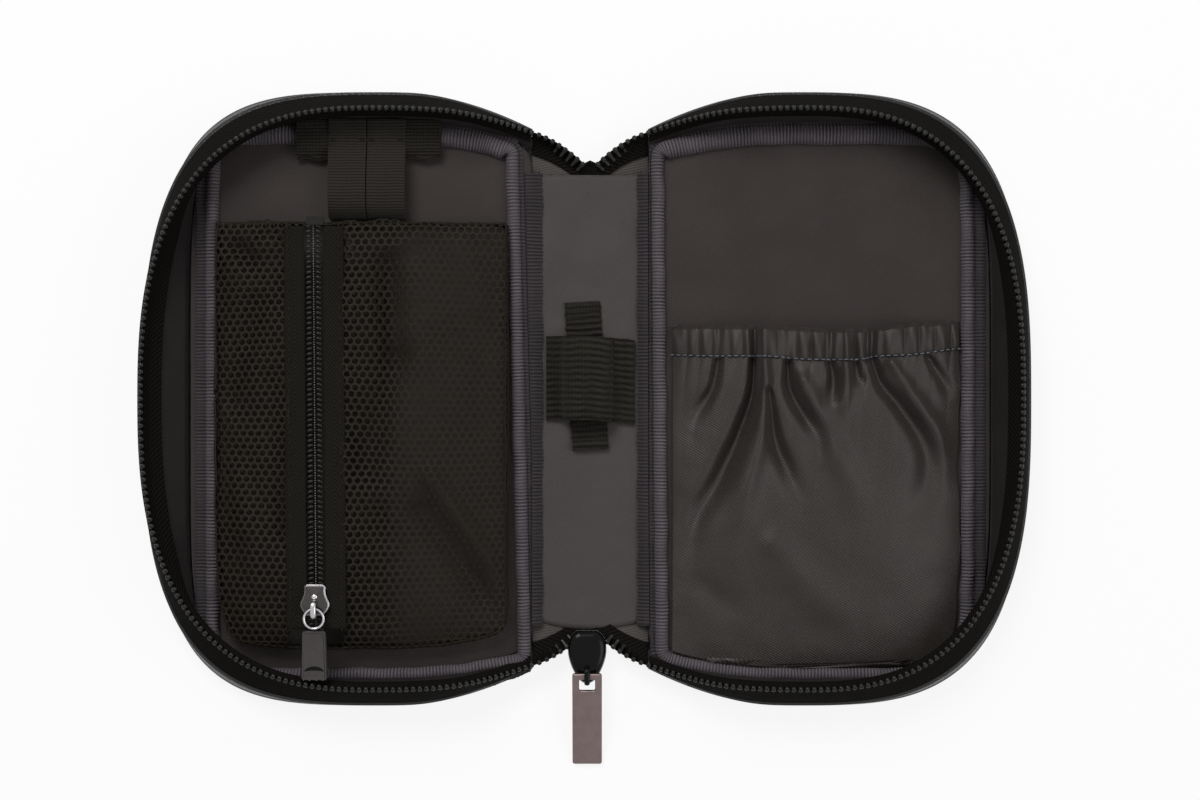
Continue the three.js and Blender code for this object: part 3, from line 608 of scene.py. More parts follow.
def make_mottled(name, dark, light, grain, gloss, depth=0.0, detail=3.0, **constants):
    """One fine noise moves the tone, and the gloss from its first share by its second."""
    finish = Finish(name, **constants)
    mottle = finish.noise(finish.place(), grain, detail)
    sockets = {"Base_Color": finish.mix(mottle, dark, light), "Roughness": mottle * gloss[1] + gloss[0]}
    if depth:
        sockets["Normal"] = finish.bump(mottle, depth, 0.8)
    return finish.feed(**sockets)


def make_metal(name, colour, roughness, grain, streak=(1.0, 1.0, 1.0)):
    """Plated metal: clouded tone, and fine scratches drawn out along one direction."""
    finish = Finish(name, Metallic=1.0)
    stretched = finish.node("ShaderNodeMapping", inputs={"Vector": finish.place(), "Scale": streak})
    scratches = finish.noise(stretched, grain, detail=5.0, roughness=0.7)
    clouds = finish.noise(finish.place(), 0.0035)
    tone = finish.mix((clouds * 0.8 + scratches * 0.5 - 0.15).clamped(), brighter(colour, 0.62), colour)
    gloss = scratches * 0.26 + (roughness - 0.12)
    return finish.feed(Base_Color=tone, Roughness=gloss, Normal=finish.bump(scratches, 0.00002, 0.5))


cover_leather = make_leather("cover_leather", shade(13, 12, 13), 0.0009, 0.44)
trim_leather = make_leather("trim_leather", shade(11, 10, 10), 0.0006, 0.38)
plastic_tone = shade(13, 13, 11)
bright_tone = brighter(plastic_tone, 1.8)
zip_plastic = make_mottled("zip_plastic", plastic_tone, bright_tone, 0.0016, (0.16, 0.22), IOR=1.3)
black_enamel = make_mottled("black_enamel", shade(6, 6, 7), shade(13, 13, 14), 0.004, (0.12, 0.08), IOR=1.2)
net_thread = make_mottled(
    "net_thread", shade(12, 10, 9), shade(54, 49, 42), 0.0005, (0.5, 0.3), 0.0001, 4.0, IOR=1.15
)
blue_grey = (shade(52, 55, 64), shade(104, 108, 120))
blue_grey_thread = make_mottled("sewing_thread", *blue_grey, 0.0004, (0.45, 0.3), Sheen_Weight=0.2)
pale_grey = (shade(60, 58, 55), shade(150, 146, 140))
pale_thread = make_mottled("pale_thread", *pale_grey, 0.0004, (0.4, 0.3), Sheen_Weight=0.2)
dark_nickel = make_metal("dark_nickel", shade(78, 74, 74), 0.26, 0.0012)
gunmetal = make_metal("gunmetal", shade(124, 110, 109), 0.42, 0.0009, (1.0, 0.12, 1.0))
silver_rim = make_metal("silver_rim", shade(196, 194, 196), 0.22, 0.0015)

# %% [markdown]
# Woven cloth is drawn on the cloth map, so twill lines and ribs run with the piece. Lining and pocket are
# the same satin twill, a little glossier where the cloth is gathered. Tapes and webbing are ribbed.

# %% Cloth and tape
TWILL_PITCH = 0.00068
WEAVE_DEPTH = 0.00005
SWELL_SIZE = 0.014
SWELL_DEPTH = 0.0012
RIB_PITCH = 0.00095
SHADED_FLANGE_FADE = 0.0006


def make_twill(name, dark, light, sheen, roughness, slope=1.0, shine=0.12):
    """Satin twill: fine slanting ribs over soft clouds, as woven lining cloth has."""
    finish = Finish(name, Sheen_Weight=sheen, Sheen_Roughness=0.4, Specular_IOR_Level=shine)
    uv, across, along = finish.along_cloth()
    ribs = wave(across * slope + along, TWILL_PITCH)
    weft = wave(across - along * 0.25, TWILL_PITCH * 0.55)
    clouds = finish.noise(finish.place(), 0.016)
    lint = finish.noise(uv, 0.0007, detail=2.0)
    level = ribs * 0.6 + weft * 0.12 + clouds * 0.5 + lint * 0.55 - 0.37
    tone = finish.mix(level.clamped(), dark, light)
    weave = finish.bump(ribs + weft * 0.4 + lint * 0.5, WEAVE_DEPTH, 0.8)
    swell = finish.noise(finish.place(), SWELL_SIZE, detail=1.0)
    surface = finish.bump(swell, SWELL_DEPTH, Normal=weave)
    return finish.feed(Base_Color=tone, Roughness=lint * 0.25 + (roughness - 0.1), Normal=surface)


def make_ribbed(name, dark, light, pitch, cross=None, depth=0.00012, shaded_flange_width=0.0):
    """Ribbed tape or webbing: ribs across it, warp threads along it. Its first part may get painted shade."""
    finish = Finish(name, Sheen_Weight=0.06, Sheen_Roughness=0.5, IOR=1.12)
    uv, across, along = finish.along_cloth()
    wander = finish.noise(uv, 0.006) * (pitch * 0.8)
    ribs = wave(along + wander, pitch) ** 0.8
    warp = wave(across, cross or pitch * 0.42)
    lint = finish.noise(uv, 0.0005, detail=2.0)
    clouds = finish.noise(finish.place(), 0.012)
    level = ribs * 0.55 + warp * 0.14 + lint * 0.24 + clouds * 0.3 - 0.16
    # The tape's first part, beside the tray's wall, is darkened: painted shade.
    if shaded_flange_width:
        level = level * (((across - shaded_flange_width) / SHADED_FLANGE_FADE).clamped() * 0.6 + 0.4)
    tone = finish.mix(level.clamped(), dark, light)
    height = ribs + warp * 0.3 + lint * 0.3
    return finish.feed(Base_Color=tone, Roughness=lint * 0.2 + 0.68, Normal=finish.bump(height, depth, 0.9))


def make_herringbone(name, dark, light, pitch, half_width):
    """Zip tape: slanting knitted ribs that mirror along the middle of the tape."""
    finish = Finish(name, IOR=1.08)
    uv, across, along = finish.along_cloth()
    ribs = wave(along + (across - half_width).math("ABSOLUTE") * 1.4, pitch)
    threads = wave(across, pitch * 0.5)
    lint = finish.noise(uv, 0.0006, detail=2.0)
    tone = finish.mix((ribs * 0.6 + threads * 0.16 + lint * 0.34 - 0.1).clamped(), dark, light)
    surface = finish.bump(ribs + lint * 0.4, 0.00012, 0.9)
    return finish.feed(Base_Color=tone, Roughness=lint * 0.2 + 0.66, Normal=surface)


lining_cloth = make_twill("lining_cloth", shade(34, 30, 29), shade(66, 60, 58), 0.08, 0.56)
spine_cloth = make_twill("spine_cloth", shade(56, 52, 52), shade(82, 76, 76), 0.1, 0.54)
patch_cloth = make_twill("patch_cloth", shade(50, 47, 45), shade(84, 79, 76), 0.1, 0.6, slope=-0.2)
pocket_cloth = make_twill("pocket_cloth", shade(24, 21, 20), shade(58, 53, 50), 0.06, 0.4, slope=0.6,
                          shine=0.24)
# The walls' lining is the floor's twill coloured darker: painted shade on the tray's inner walls.
wall_cloth = make_twill("wall_cloth", shade(16, 14, 14), shade(42, 38, 37), 0.03, 0.6)
# The binding's low outer part beside the wall is darkened: painted shade.
grosgrain = make_ribbed("grosgrain", shade(34, 31, 33), shade(112, 105, 111), RIB_PITCH, shaded_flange_width=0.0034)
# The fold strips are the same tape coloured darker: painted shade.
edge_grosgrain = make_ribbed("edge_grosgrain", shade(26, 24, 25), shade(72, 67, 70), RIB_PITCH)
zip_tape_cloth = make_herringbone("zip_tape_cloth", shade(7, 6, 6), shade(30, 28, 26), 0.0013, 0.0023)
pouch_tape_cloth = make_herringbone("pouch_tape_cloth", shade(14, 13, 11), shade(44, 41, 37), 0.0011, 0.0027)
webbing = make_ribbed("webbing", shade(13, 12, 10), shade(52, 49, 44), 0.0017, cross=0.0009, depth=0.0003)
waffle = make_ribbed("waffle", shade(14, 13, 11), shade(52, 48, 43), 0.0009, cross=0.0009, depth=0.0002)
elastic = make_ribbed("elastic", shade(20, 18, 16), shade(56, 52, 48), 0.0008, cross=0.00075, depth=0.0001)
print("finishes", len(bpy.data.materials))
# %% [markdown]
# Each tray's outside is a leather plate with a bound edge, and a padded wall that ends in a folded lip.
# The wall could be one swept band, but a real one swells between its seams, so the band's corners are
# pushed out in the middle of its height. The plate is a pad of rings round the tray's own centre.

# %% Leather outside of the trays
WALL_STEPS = 220
WALL_FOOT_INSET = 0.00055
WALL_SWELL = 0.0009
LIP_CLIMB = 0.44
LIP_REACH = 0.0007
LEATHER_THICKNESS = 0.0009
PIPING_WIDTH = 0.0030
PIPING_TOP = 0.0026
PLATE_EDGE_INSET = 0.0016
PIPING_SIDES = 10
LIP_SECTION = (
    (0.0, 0.0009), (0.0, 0.0), (0.14, -0.0002), (0.3, -0.0003), (LIP_CLIMB - 0.06, -LIP_REACH),
    (LIP_CLIMB, -LIP_REACH * 1.1), (LIP_CLIMB + 0.03, -0.0002), (LIP_CLIMB, 0.0003), (0.8, 0.0005),
    (1.0, 0.0005), (1.0, 0.0011), (0.5, 0.0014),
)
PLATE_LEVELS = (
    (0.02, 0.0), (0.5, 0.0), (0.985, 0.0), (0.998, LEATHER_THICKNESS * 0.3), (1.0, LEATHER_THICKNESS * 0.6),
    (0.996, LEATHER_THICKNESS), (0.5, LEATHER_THICKNESS), (0.02, LEATHER_THICKNESS),
)
PAD_CENTRE = (0.060, 0.0)
foot_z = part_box("right_gusset")[0].z
even_shares = np.linspace(0, 1, WALL_STEPS)


def on_slope(tray, shares, climb, inset):
    """Points on the outside of the wall: climb is 0 at its foot and 1 at its top."""
    cover, rim = tray.lines["cover"], tray.lines["rim"]
    foot = cover.points(shares, WALL_FOOT_INSET)
    outward = unit(foot - cover.points(shares, WALL_FOOT_INSET + MM))
    taper = tray.taper_at(shares)[:, None]
    upright = rim.points(shares)
    top = upright + taper * (rim.points(shares, -RIM_OVERHANG) - upright)
    swell = WALL_SWELL * math.sin(math.pi * climb) + max(-inset, 0)
    flat = foot + climb * (top - foot) + (swell * taper - max(inset, 0)) * outward
    flat[:, 0] = np.maximum(flat[:, 0], TRAY_START_X)
    return lift(flat, tray.height_on(shares, foot_z + climb * (wall_top - foot_z)), tray.side)


def map_flat(piece):
    """Lays the cloth map straight down on the piece, in metres."""
    mesh = piece.data
    places = np.array([v.co for v in mesh.vertices])
    corners = np.array([loop.vertex_index for loop in mesh.loops])
    mesh.uv_layers["cloth"].data.foreach_set("uv", places[corners, :2].astype(np.float32).ravel())
    return piece


def tray_outline(line, inset, fold_x, corner, count=260):
    """A closed outline with rounded corners at the fold, walked by even steps."""
    rim = line.points(np.linspace(0, 1, 900), inset)
    end_y = float(line.height_at(fold_x)) - inset - line.corner_drop
    kept = rim[rim[:, 0] > fold_x + corner]
    bend = np.linspace(0, 1, 40)[1:-1, None]
    tip = np.array([fold_x, end_y])
    start = np.array([fold_x, end_y - corner])
    top = (1 - bend) ** 2 * start + 2 * bend * (1 - bend) * tip + bend**2 * kept[0]
    mirror = np.array([1, -1])
    return even_outline(np.vstack([start, top, kept, top[::-1] * mirror, start * mirror]), count)


def pad(name, outline, side, levels):
    """A closed pad: each level shrinks the outline towards the middle and has its own height."""
    centre = np.array(PAD_CENTRE)
    return map_flat(skin(name, [lift(centre + share * (outline - centre), z, side) for share, z in levels]))


def make_outside(tray):
    outline = tray_outline(tray.lines["cover"], PLATE_EDGE_INSET, TRAY_START_X, MM)
    plate = pad(f"{tray.name}_leather_plate", outline, tray.side, PLATE_LEVELS)
    dress(plate, cover_leather, "cover_leather", f"{tray.name}_cover", body=tray.body)
    half, middle_z = PIPING_WIDTH / 2, PIPING_TOP / 2
    rings = [
        tray.wall(even_shares, "cover", half + half * math.cos(turn), middle_z + middle_z * math.sin(turn))
        for turn in full_turn(PIPING_SIDES)
    ]
    piping = skin(f"{tray.name}_edge_piping", np.stack(rings, axis=1))
    dress(piping, trim_leather, "trim_leather", f"{tray.name}_piping", body=tray.body)
    rings = [on_slope(tray, even_shares, climb, inset) for climb, inset in LIP_SECTION]
    wall = skin(f"{tray.name}_leather_wall", np.stack(rings, axis=1))
    dress(wall, trim_leather, "trim_leather", f"{tray.name}_gusset", body=tray.body)


for tray in trays.values():
    make_outside(tray)
    print(tray.name, "outside made, wall foot", round(foot_z, 4))

# %% [markdown]
# A stitch is a short rounded capsule that dips into the leather at both ends. Hundreds of them repeat
# along a seam, so a geometry tree lays one capsule along a path by even steps.


# %% Stitches by geometry nodes
STITCH_LENGTH = 0.0017
STITCH_GAP = 0.0009
STITCH_RADIUS = 0.00022
CAPSULE_RINGS = 7
LEAST_END = 0.2


class Tree:
    """A geometry tree with named inputs."""

    def __init__(self, name, **inputs):
        self.group = bpy.data.node_groups.new(name, "GeometryNodeTree")
        sockets = self.group.interface
        sockets.new_socket("Geometry", in_out="INPUT", socket_type="NodeSocketGeometry")
        for label, (kind, default) in inputs.items():
            title = label.replace("_", " ").title()
            sockets.new_socket(title, in_out="INPUT", socket_type=f"NodeSocket{kind}").default_value = default
        sockets.new_socket("Geometry", in_out="OUTPUT", socket_type="NodeSocketGeometry")
        self.start = self.group.nodes.new("NodeGroupInput")
        self.end = self.group.nodes.new("NodeGroupOutput")

    def input(self, label):
        return self.start.outputs[label.replace("_", " ").title()]

    def node(self, kind, settings=None, inputs=None):
        return add_node(self.group, kind, settings, inputs)

    def finish(self, result, material):
        real = self.node("GeometryNodeRealizeInstances", inputs={0: result})
        coated = self.node("GeometryNodeSetMaterial", inputs={0: real, "Material": material})
        self.group.links.new(coated.outputs[0], self.end.inputs[0])
        return self.group


def path_object(name, points, ups):
    """A polyline mesh whose points hold the directions that a repeated piece stands along."""
    mesh = bpy.data.meshes.new(name)
    mesh.from_pydata(points.tolist(), [(i, i + 1) for i in range(len(points) - 1)], [])
    for label, vectors in (("upward", ups), ("forward", unit(np.gradient(points, axis=0)))):
        store = mesh.attributes.new(label, "FLOAT_VECTOR", "POINT")
        store.data.foreach_set("vector", vectors.astype(np.float32).ravel())
    return into_scene(bpy.data.objects.new(name, mesh))


def repeat_tree(name, unit_shape, material):
    """A tree that puts one unit shape on every point of a path, standing along the stored directions."""
    tree = Tree(name, unit_shape=("Object", unit_shape), unit_scale=("Float", 1.0))
    shape = tree.node("GeometryNodeObjectInfo", inputs={"Object": tree.input("unit_shape")})
    forward, upward = (
        tree.node("GeometryNodeInputNamedAttribute", {"data_type": "FLOAT_VECTOR"}, {"Name": label})
        for label in ("forward", "upward")
    )
    axes = {"primary_axis": "X", "secondary_axis": "Z"}
    turn = tree.node("FunctionNodeAxesToRotation", axes, {0: forward, 1: upward})
    inputs = {
        "Points": tree.input("Geometry"),
        "Instance": shape.outputs["Geometry"],
        "Rotation": turn,
        "Scale": tree.input("unit_scale"),
    }
    return tree.finish(tree.node("GeometryNodeInstanceOnPoints", inputs=inputs), material)


def unit_object(name, shaped):
    """A small shape drawn round the origin, kept out of the scene, for a tree to repeat."""
    mesh = bpy.data.meshes.new(name)
    shaped.to_mesh(mesh)
    shaped.free()
    mesh.shade_smooth()
    return bpy.data.objects.new(name, mesh)


def ringed_shape(rings):
    """A small closed shape through rings of corners, for a tree to repeat."""
    shaped = bmesh.new()
    corners = [[shaped.verts.new(point) for point in ring] for ring in rings]
    for here, after in zip(corners, corners[1:]):
        for j in range(len(here)):
            ahead = (j + 1) % len(here)
            shaped.faces.new((here[j], after[j], after[ahead], here[ahead]))
    shaped.faces.new(corners[0])
    shaped.faces.new(corners[-1][::-1])
    bmesh.ops.recalc_face_normals(shaped, faces=shaped.faces)
    return shaped


def capsule(length, radius, sides=6, sink=0.5):
    """A thread-like capsule along X whose two ends dip below the surface."""
    rings = []
    for share in np.linspace(-1, 1, CAPSULE_RINGS):
        thick = radius * math.sqrt(max(1 - abs(share) ** 4, LEAST_END**2))
        drop = -sink * radius * 2 * abs(share) ** 2.5
        rings.append([
            (share * length / 2, thick * math.cos(turn), thick * math.sin(turn) + drop)
            for turn in full_turn(sides)
        ])
    return ringed_shape(rings)


def repeated(name, points, ups, step, tree, scale=1.0):
    """One unit shape after another along a path. ups are the directions that its cloth faces in."""
    both = even_walk(np.column_stack([points, ups]), step)
    host = path_object(name, both[:, :3], both[:, 3:])
    return link(name, from_tree(name, tree, host, unit_scale=scale))


stitch_shape = unit_object("stitch_shape", capsule(STITCH_LENGTH, STITCH_RADIUS))


def sew(
    name, points, thread, slot, body=None, pitch=STITCH_LENGTH + STITCH_GAP, scale=1.0, stitch=stitch_shape
):
    """A row of stitches on top of a seam."""
    tree = repeat_tree(f"{name}_tree", stitch, thread)
    return dress(repeated(name, points, facing(points, UP), pitch, tree, scale), None, slot, body=body)


# %% [markdown]
# Inside, each tray has a padded floor and a cloth wall. The wall's lining isn't pulled tight: it puckers
# where it's gathered into the seam, so the strip gets slow swells that fade out at both of its edges.

# %% Padded floors and wall linings
FLOOR_PAD_INSET = 0.0003
FLOOR_PAD_CORNER = 0.005
PAD_CROWN = 0.0003
PUCKER_DEPTH = 0.00035
WALL_LINING_THICKNESS = 0.0005
WALL_LINING_LEVELS = 9
WALL_LINING_STEPS = 500
WALL_LINING_BOW = 0.0006
LINING_SEAM_ALLOWANCE = 0.0012
RIM_LINING_INSET = 0.0013
lining_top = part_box("right_lining")[1].z
pad_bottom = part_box("right_foam")[0].z
floor_levels = (
    (0.02, pad_bottom), (0.5, pad_bottom), (0.97, pad_bottom), (0.998, (pad_bottom + lining_top) / 2),
    (0.99, lining_top - 0.0002), (0.95, lining_top), (0.7, lining_top + PAD_CROWN),
    (0.35, lining_top + PAD_CROWN), (0.02, lining_top + PAD_CROWN),
)


def make_linings(tray):
    outline = tray_outline(tray.lines["floor"], FLOOR_PAD_INSET, TRAY_START_X, FLOOR_PAD_CORNER)
    floor = pad(f"{tray.name}_floor_pad", outline, tray.side, floor_levels)
    dress(floor, lining_cloth, "lining_cloth", f"{tray.name}_lining", f"{tray.name}_foam", body=tray.body)

    shares = np.linspace(0, 1, WALL_LINING_STEPS)
    swell = puckers(shares, tray.lines["rim"].length, 2.0 + tray.side)
    foot = tray.wall(shares, "floor", FLOOR_PAD_INSET, floor_rest - 0.0003)
    top = tray.wall(shares, "rim", RIM_LINING_INSET, wall_top)
    beside = tray.wall(shares, "floor", FLOOR_PAD_INSET, floor_rest)
    inward = unit(tray.wall(shares, "floor", FLOOR_PAD_INSET + MM, floor_rest) - beside)
    rows = []
    for climb in np.linspace(0, 1, WALL_LINING_LEVELS):
        bulge = math.sin(math.pi * climb) * (PUCKER_DEPTH * (1 + swell) / 2 - WALL_LINING_BOW)
        rows.append(foot + climb * (top - foot) + inward * bulge[:, None])
    wall = panel(f"{tray.name}_wall_lining", np.stack(rows, axis=1), WALL_LINING_THICKNESS)
    # The wall lining takes the darker twill: painted shade.
    dress(wall, wall_cloth, "lining_cloth", f"{tray.name}_gusset_lining", body=tray.body)
    depth = float(np.linalg.norm(rows[-1] - rows[0], axis=1).mean()) + LINING_SEAM_ALLOWANCE


for tray in trays.values():
    make_linings(tray)
print("floor pads are", round((lining_top - pad_bottom) / MM, 2), "mm thick")

# %% [markdown]
# Grosgrain tape binds the seam round each tray's floor. On the real case it's a ribbed ribbon, folded
# over the raw edges: a low outer lip, a crease, and a round ridge that stands up and leans inwards.
# The outer lip's tone is darkened here: painted shade.
# A section is swept round a closed path here, with five steps for each rib, so every rib is really there.

# %% Grosgrain binding with its ribs
BINDING_HALF_WIDTH = 0.0033
BINDING_FOLD_X = {"left": 0.0174, "right": 0.0168}
BINDING_SLANT = {"left": 0.0260, "right": -0.0090}
BINDING_SHIFT_Y = -0.0012
BINDING_FOLD_SHARE = 0.45
BINDING_END_SPREAD = 0.45
BINDING_CORNER = 0.0030
BINDING_WALL_GAP = 0.0018
BINDING_CORNER_GAP = 0.0036
RIB_STEPS = 5
RIB_DEPTH = 0.00009
BINDING_WANDER = 0.00022
BINDING_SECTION = (
    (-0.0032, -0.0001), (-0.0030, 0.0004), (-0.0018, 0.0006), (-0.0008, 0.0003), (-0.0003, 0.0005),
    (0.0001, 0.0014), (0.0007, 0.0022), (0.0016, 0.0026), (0.0025, 0.0023), (0.0031, 0.0014),
    (0.0033, 0.0005),
    (0.0032, -0.0001),
)
BESIDE_FOLD_X = 0.030
BESIDE_FOLD_FADE = 0.010
RIDGE_AWAY = 0.002


def room_outside(tray, path, inward):
    """The share of the section's outer half that fits between the path and the wall or the fold."""
    cover = tray.lines["cover"]
    best = np.full(len(path), 0.05)
    for share in np.linspace(0.1, 1.7, 33):
        edge = path - inward * BINDING_HALF_WIDTH * share
        wall = cover.height_at(np.minimum(edge[:, 0], cover_reach)) - BINDING_WALL_GAP
        side = cover.reach_at(edge[:, 1]) - BINDING_WALL_GAP
        fits = (np.abs(edge[:, 1]) < wall) & (edge[:, 0] < side) & (edge[:, 0] > TRAY_START_X + 0.0002)
        best = np.where(fits, share, best)
    return best


def make_binding(tray):
    seam = (tray.lines["seam"], -BINDING_HALF_WIDTH, BINDING_FOLD_X[tray.name], BINDING_CORNER)
    rough = tray_outline(*seam, 1200)
    walked = walked_along(np.vstack([rough, rough[:1]]))[-1]
    rib_count = int(walked / RIB_PITCH)
    count = rib_count * RIB_STEPS
    path = tray_outline(*seam, count)
    beside_fold = smooth_step((BESIDE_FOLD_X - path[:, 0]) / BESIDE_FOLD_FADE)
    path[:, 0] += BINDING_SLANT[tray.name] * path[:, 1] * beside_fold
    path[:, 1] += BINDING_SHIFT_Y
    wall = tray.lines["cover"].height_at(np.minimum(path[:, 0], cover_reach)) - BINDING_CORNER_GAP
    path[:, 1] = np.clip(path[:, 1], -wall, wall)
    ahead = unit(np.roll(path, -4, axis=0) - np.roll(path, 4, axis=0))
    inward = np.column_stack([ahead[:, 1], -ahead[:, 0]])
    shares = np.arange(count) / count
    rib = RIB_DEPTH * np.sin(2 * math.pi * np.arange(count) / RIB_STEPS)
    sway = BINDING_WANDER * puckers(shares, walked, 0.7 * tray.side)
    bulge = 1 + 0.12 * puckers(shares, walked, 5.1 + tray.side)
    at_end = smooth_step((np.abs(ahead[:, 0]) - 0.5) / 0.4)
    widest = (1 + 0.6 * at_end) * (1 - beside_fold) + BINDING_FOLD_SHARE * beside_fold
    room = np.minimum(room_outside(tray, path, inward), np.maximum(widest, at_end))
    spread = 1 + BINDING_END_SPREAD * at_end * (path[:, 1] > 0)
    rings = []
    for away, height in BINDING_SECTION:
        reach = away * room if away < 0 else away * spread + sway + rib * (away > RIDGE_AWAY)
        z = lining_top + height * bulge + rib * (height > 0)
        rings.append(lift(path + inward * reach[:, None], z, tray.side))
    binding = skin(f"{tray.name}_binding_tape", np.stack(rings, axis=1), looped=True, smooth_angle=70)
    dress(binding, grosgrain, "grosgrain_tape", f"{tray.name}_binding", body=tray.body)
    print(binding.name, "ribs", rib_count)


for tray in trays.values():
    make_binding(tray)

# %% [markdown]
# The zip's tape is knitted, and it stands on edge round the rim: it comes up from behind the leather lip,
# carries the teeth at its top and falls back inside the tray. One band with a thin section does this.

# %% Zip tape round the rims
TAPE_THICKNESS = 0.0004
TAPE_SIDE_FALL = {"left": 0.0040, "right": 0.0030}
TAPE_END_FALL = 0.0012
TEETH_INSET = 0.0005
CROWN_DROP = 0.0010
TAPE_ROOM_SHARE = 0.7
TAPE_STEPS = 420
TAPE_OUTSIDE = ((0.36, -0.0002), (0.55, -0.0002), (0.8, -0.0003), (1.0, -0.0003))
TAPE_CROWN = ((-0.0009, 0.0018), (-0.0004, CROWN_DROP), (0.0004, CROWN_DROP), (0.0010, 0.0018))
SIDE_REACH_Y = 0.066
SIDE_FADE = 0.026
TAPE_STAND_OFF = 0.0005
tape_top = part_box("right_zip_tape")[1].z


def make_zip_tape(tray):
    shares = np.linspace(0, 1, TAPE_STEPS)
    outer = [on_slope(tray, shares, climb, inset) for climb, inset in TAPE_OUTSIDE]
    crown = [tray.wall(shares, "rim", TEETH_INSET + inset, tape_top - drop) for inset, drop in TAPE_CROWN]
    inner = [tray.wall(shares, "rim", 0.0011, wall_top + 0.0008)]
    foot = tray.wall(shares, "floor", FLOOR_PAD_INSET, floor_rest)
    edge = tray.wall(shares, "rim", RIM_LINING_INSET, wall_top)
    height = np.linalg.norm(foot - edge, axis=1)
    slope = unit(foot - edge)
    inward = unit(tray.wall(shares, "rim", 2 * MM, wall_top) - tray.wall(shares, "rim", MM, wall_top))
    at_side = smooth_step((SIDE_REACH_Y - np.abs(edge[:, 1])) / SIDE_FADE)
    fall = TAPE_END_FALL + (TAPE_SIDE_FALL[tray.name] - TAPE_END_FALL) * at_side
    reach = np.minimum(fall, height * TAPE_ROOM_SHARE)[:, None]
    inner += [edge + slope * reach * step + inward * TAPE_STAND_OFF for step in (0.15, 0.55, 1.0)]
    behind = inward * (TAPE_STAND_OFF - TAPE_THICKNESS)
    back = [edge + slope * reach + behind, edge + behind]
    hidden = [on_slope(tray, shares, climb, 0.0003) for climb in (1.0, 0.36)]
    tape = skin(f"{tray.name}_rim_tape", np.stack(outer + crown + inner + back + hidden, axis=1))
    dress(tape, zip_tape_cloth, "zip_cloth", f"{tray.name}_zip_tape", body=tray.body)


for tray in trays.values():
    make_zip_tape(tray)

# %% [markdown]
# Each tooth is a moulded bead with two legs that grip the tape's cord. From above only the bead's round
# head shows, but near the fold the tape lies down and the whole tooth is seen from its side. So a path
# carries the way each tooth points, upright round the rim and level at the notch, and a tree copies it.

# %% Teeth of the main zip
TOOTH_PITCH = 0.00174
TOOTH_LENGTH = 0.0029
TOOTH_WIDTH = 0.00140
TOOTH_HEAD = 0.00062
TOOTH_SIDES = 8
TOOTH_ROUNDNESS = 0.8
TOOTH_LEVELS = (
    (-TOOTH_LENGTH + 0.0008, 0.6, 0.7), (-0.0013, 0.62, 0.72), (-0.0007, 0.66, 0.74), (-0.0002, 0.94, 0.96),
    (0.0002, 1.0, 1.0), (0.0005, 0.9, 0.9), (0.00072, 0.66, 0.66), (0.0008, 0.22, 0.22),
)
TEETH_DROP = 0.0008


def squarish(swing):
    return math.copysign(abs(swing) ** TOOTH_ROUNDNESS, swing)


def tooth():
    """One tooth, pointing up along Z, with the zip running along X."""
    wide, deep = TOOTH_WIDTH / 2, TOOTH_HEAD * 1.25
    turns = full_turn(TOOTH_SIDES)
    return ringed_shape([
        [(wide * along * squarish(math.cos(t)), deep * across * squarish(math.sin(t)), z) for t in turns]
        for z, along, across in TOOTH_LEVELS
    ])


tooth_tree = repeat_tree("zip_teeth_tree", unit_object("tooth_shape", tooth()), zip_plastic)
teeth_z = rim_top - TEETH_DROP
for tray in trays.values():
    line = tray.wall(np.linspace(0, 1, 1500), "rim", TEETH_INSET, teeth_z)
    teeth = repeated(f"{tray.name}_teeth_row", line, facing(line, UP), TOOTH_PITCH, tooth_tree)
    dress(teeth, None, "zip_coil", f"{tray.name}_zip_teeth", body=tray.body)
    print(teeth.name, "faces", len(teeth.data.polygons))

# %% [markdown]
# The spine is a strip of the same leather with a satin lining. Cloth that crosses a fold has to bend, so
# the leather has a middle, which stays with the spine, and two hinge strips, one on each side of it.
# Both ends are cut to a shallow V, where the two rows of teeth meet.

# %% Spine leather and lining
SPINE_END_Y = 0.0612
SPINE_END_SLOPE = 0.56
HINGE_X = 0.0110
LINING_END_Y = 0.0594
LINING_BOTTOM_Y = 0.0611
LINING_BOTTOM_CURVE = 11.0
LINING_HALF_WIDTH = 0.0134
SPINE_LINING_THICKNESS = 0.0006
SPINE_GRID = (90, 40)


def spine_grid(start_x, end_x, low_y, high_y):
    """Flat points over a strip of the spine, row by row. Its ends are functions of the place across."""
    rows, columns = SPINE_GRID
    x = np.linspace(start_x, end_x, columns)
    low, high = low_y(x), high_y(x)
    return np.stack([np.column_stack([x, low + share * (high - low)]) for share in np.linspace(0, 1, rows)])


def leather_end(x):
    return SPINE_END_Y + SPINE_END_SLOPE * np.abs(x)


def lining_low(x):
    return -(LINING_BOTTOM_Y - LINING_BOTTOM_CURVE * x**2)


def make_spine_leather(name, start_x, end_x):
    flat = spine_grid(start_x, end_x, lambda x: -leather_end(x), leather_end)
    grid = np.dstack([flat, np.full(SPINE_GRID, LEATHER_THICKNESS)])
    return dress(panel(name, grid, LEATHER_THICKNESS), cover_leather, "cover_leather", "spine_cover")


def make_spine_lining():
    half = LINING_HALF_WIDTH
    flat = spine_grid(-half, half, lining_low, lambda x: np.full_like(x, LINING_END_Y))
    x, y = flat[:, :, 0], flat[:, :, 1]
    z = spine_top + 0.00012 * np.sin(y * 240 + x * 90) + 0.0001 * np.sin(y * 95 - x * 310)
    lining = map_flat(panel("spine_satin", np.dstack([flat, z]), SPINE_LINING_THICKNESS))
    dress(lining, spine_cloth, "lining_cloth", "spine_lining", body="spine")


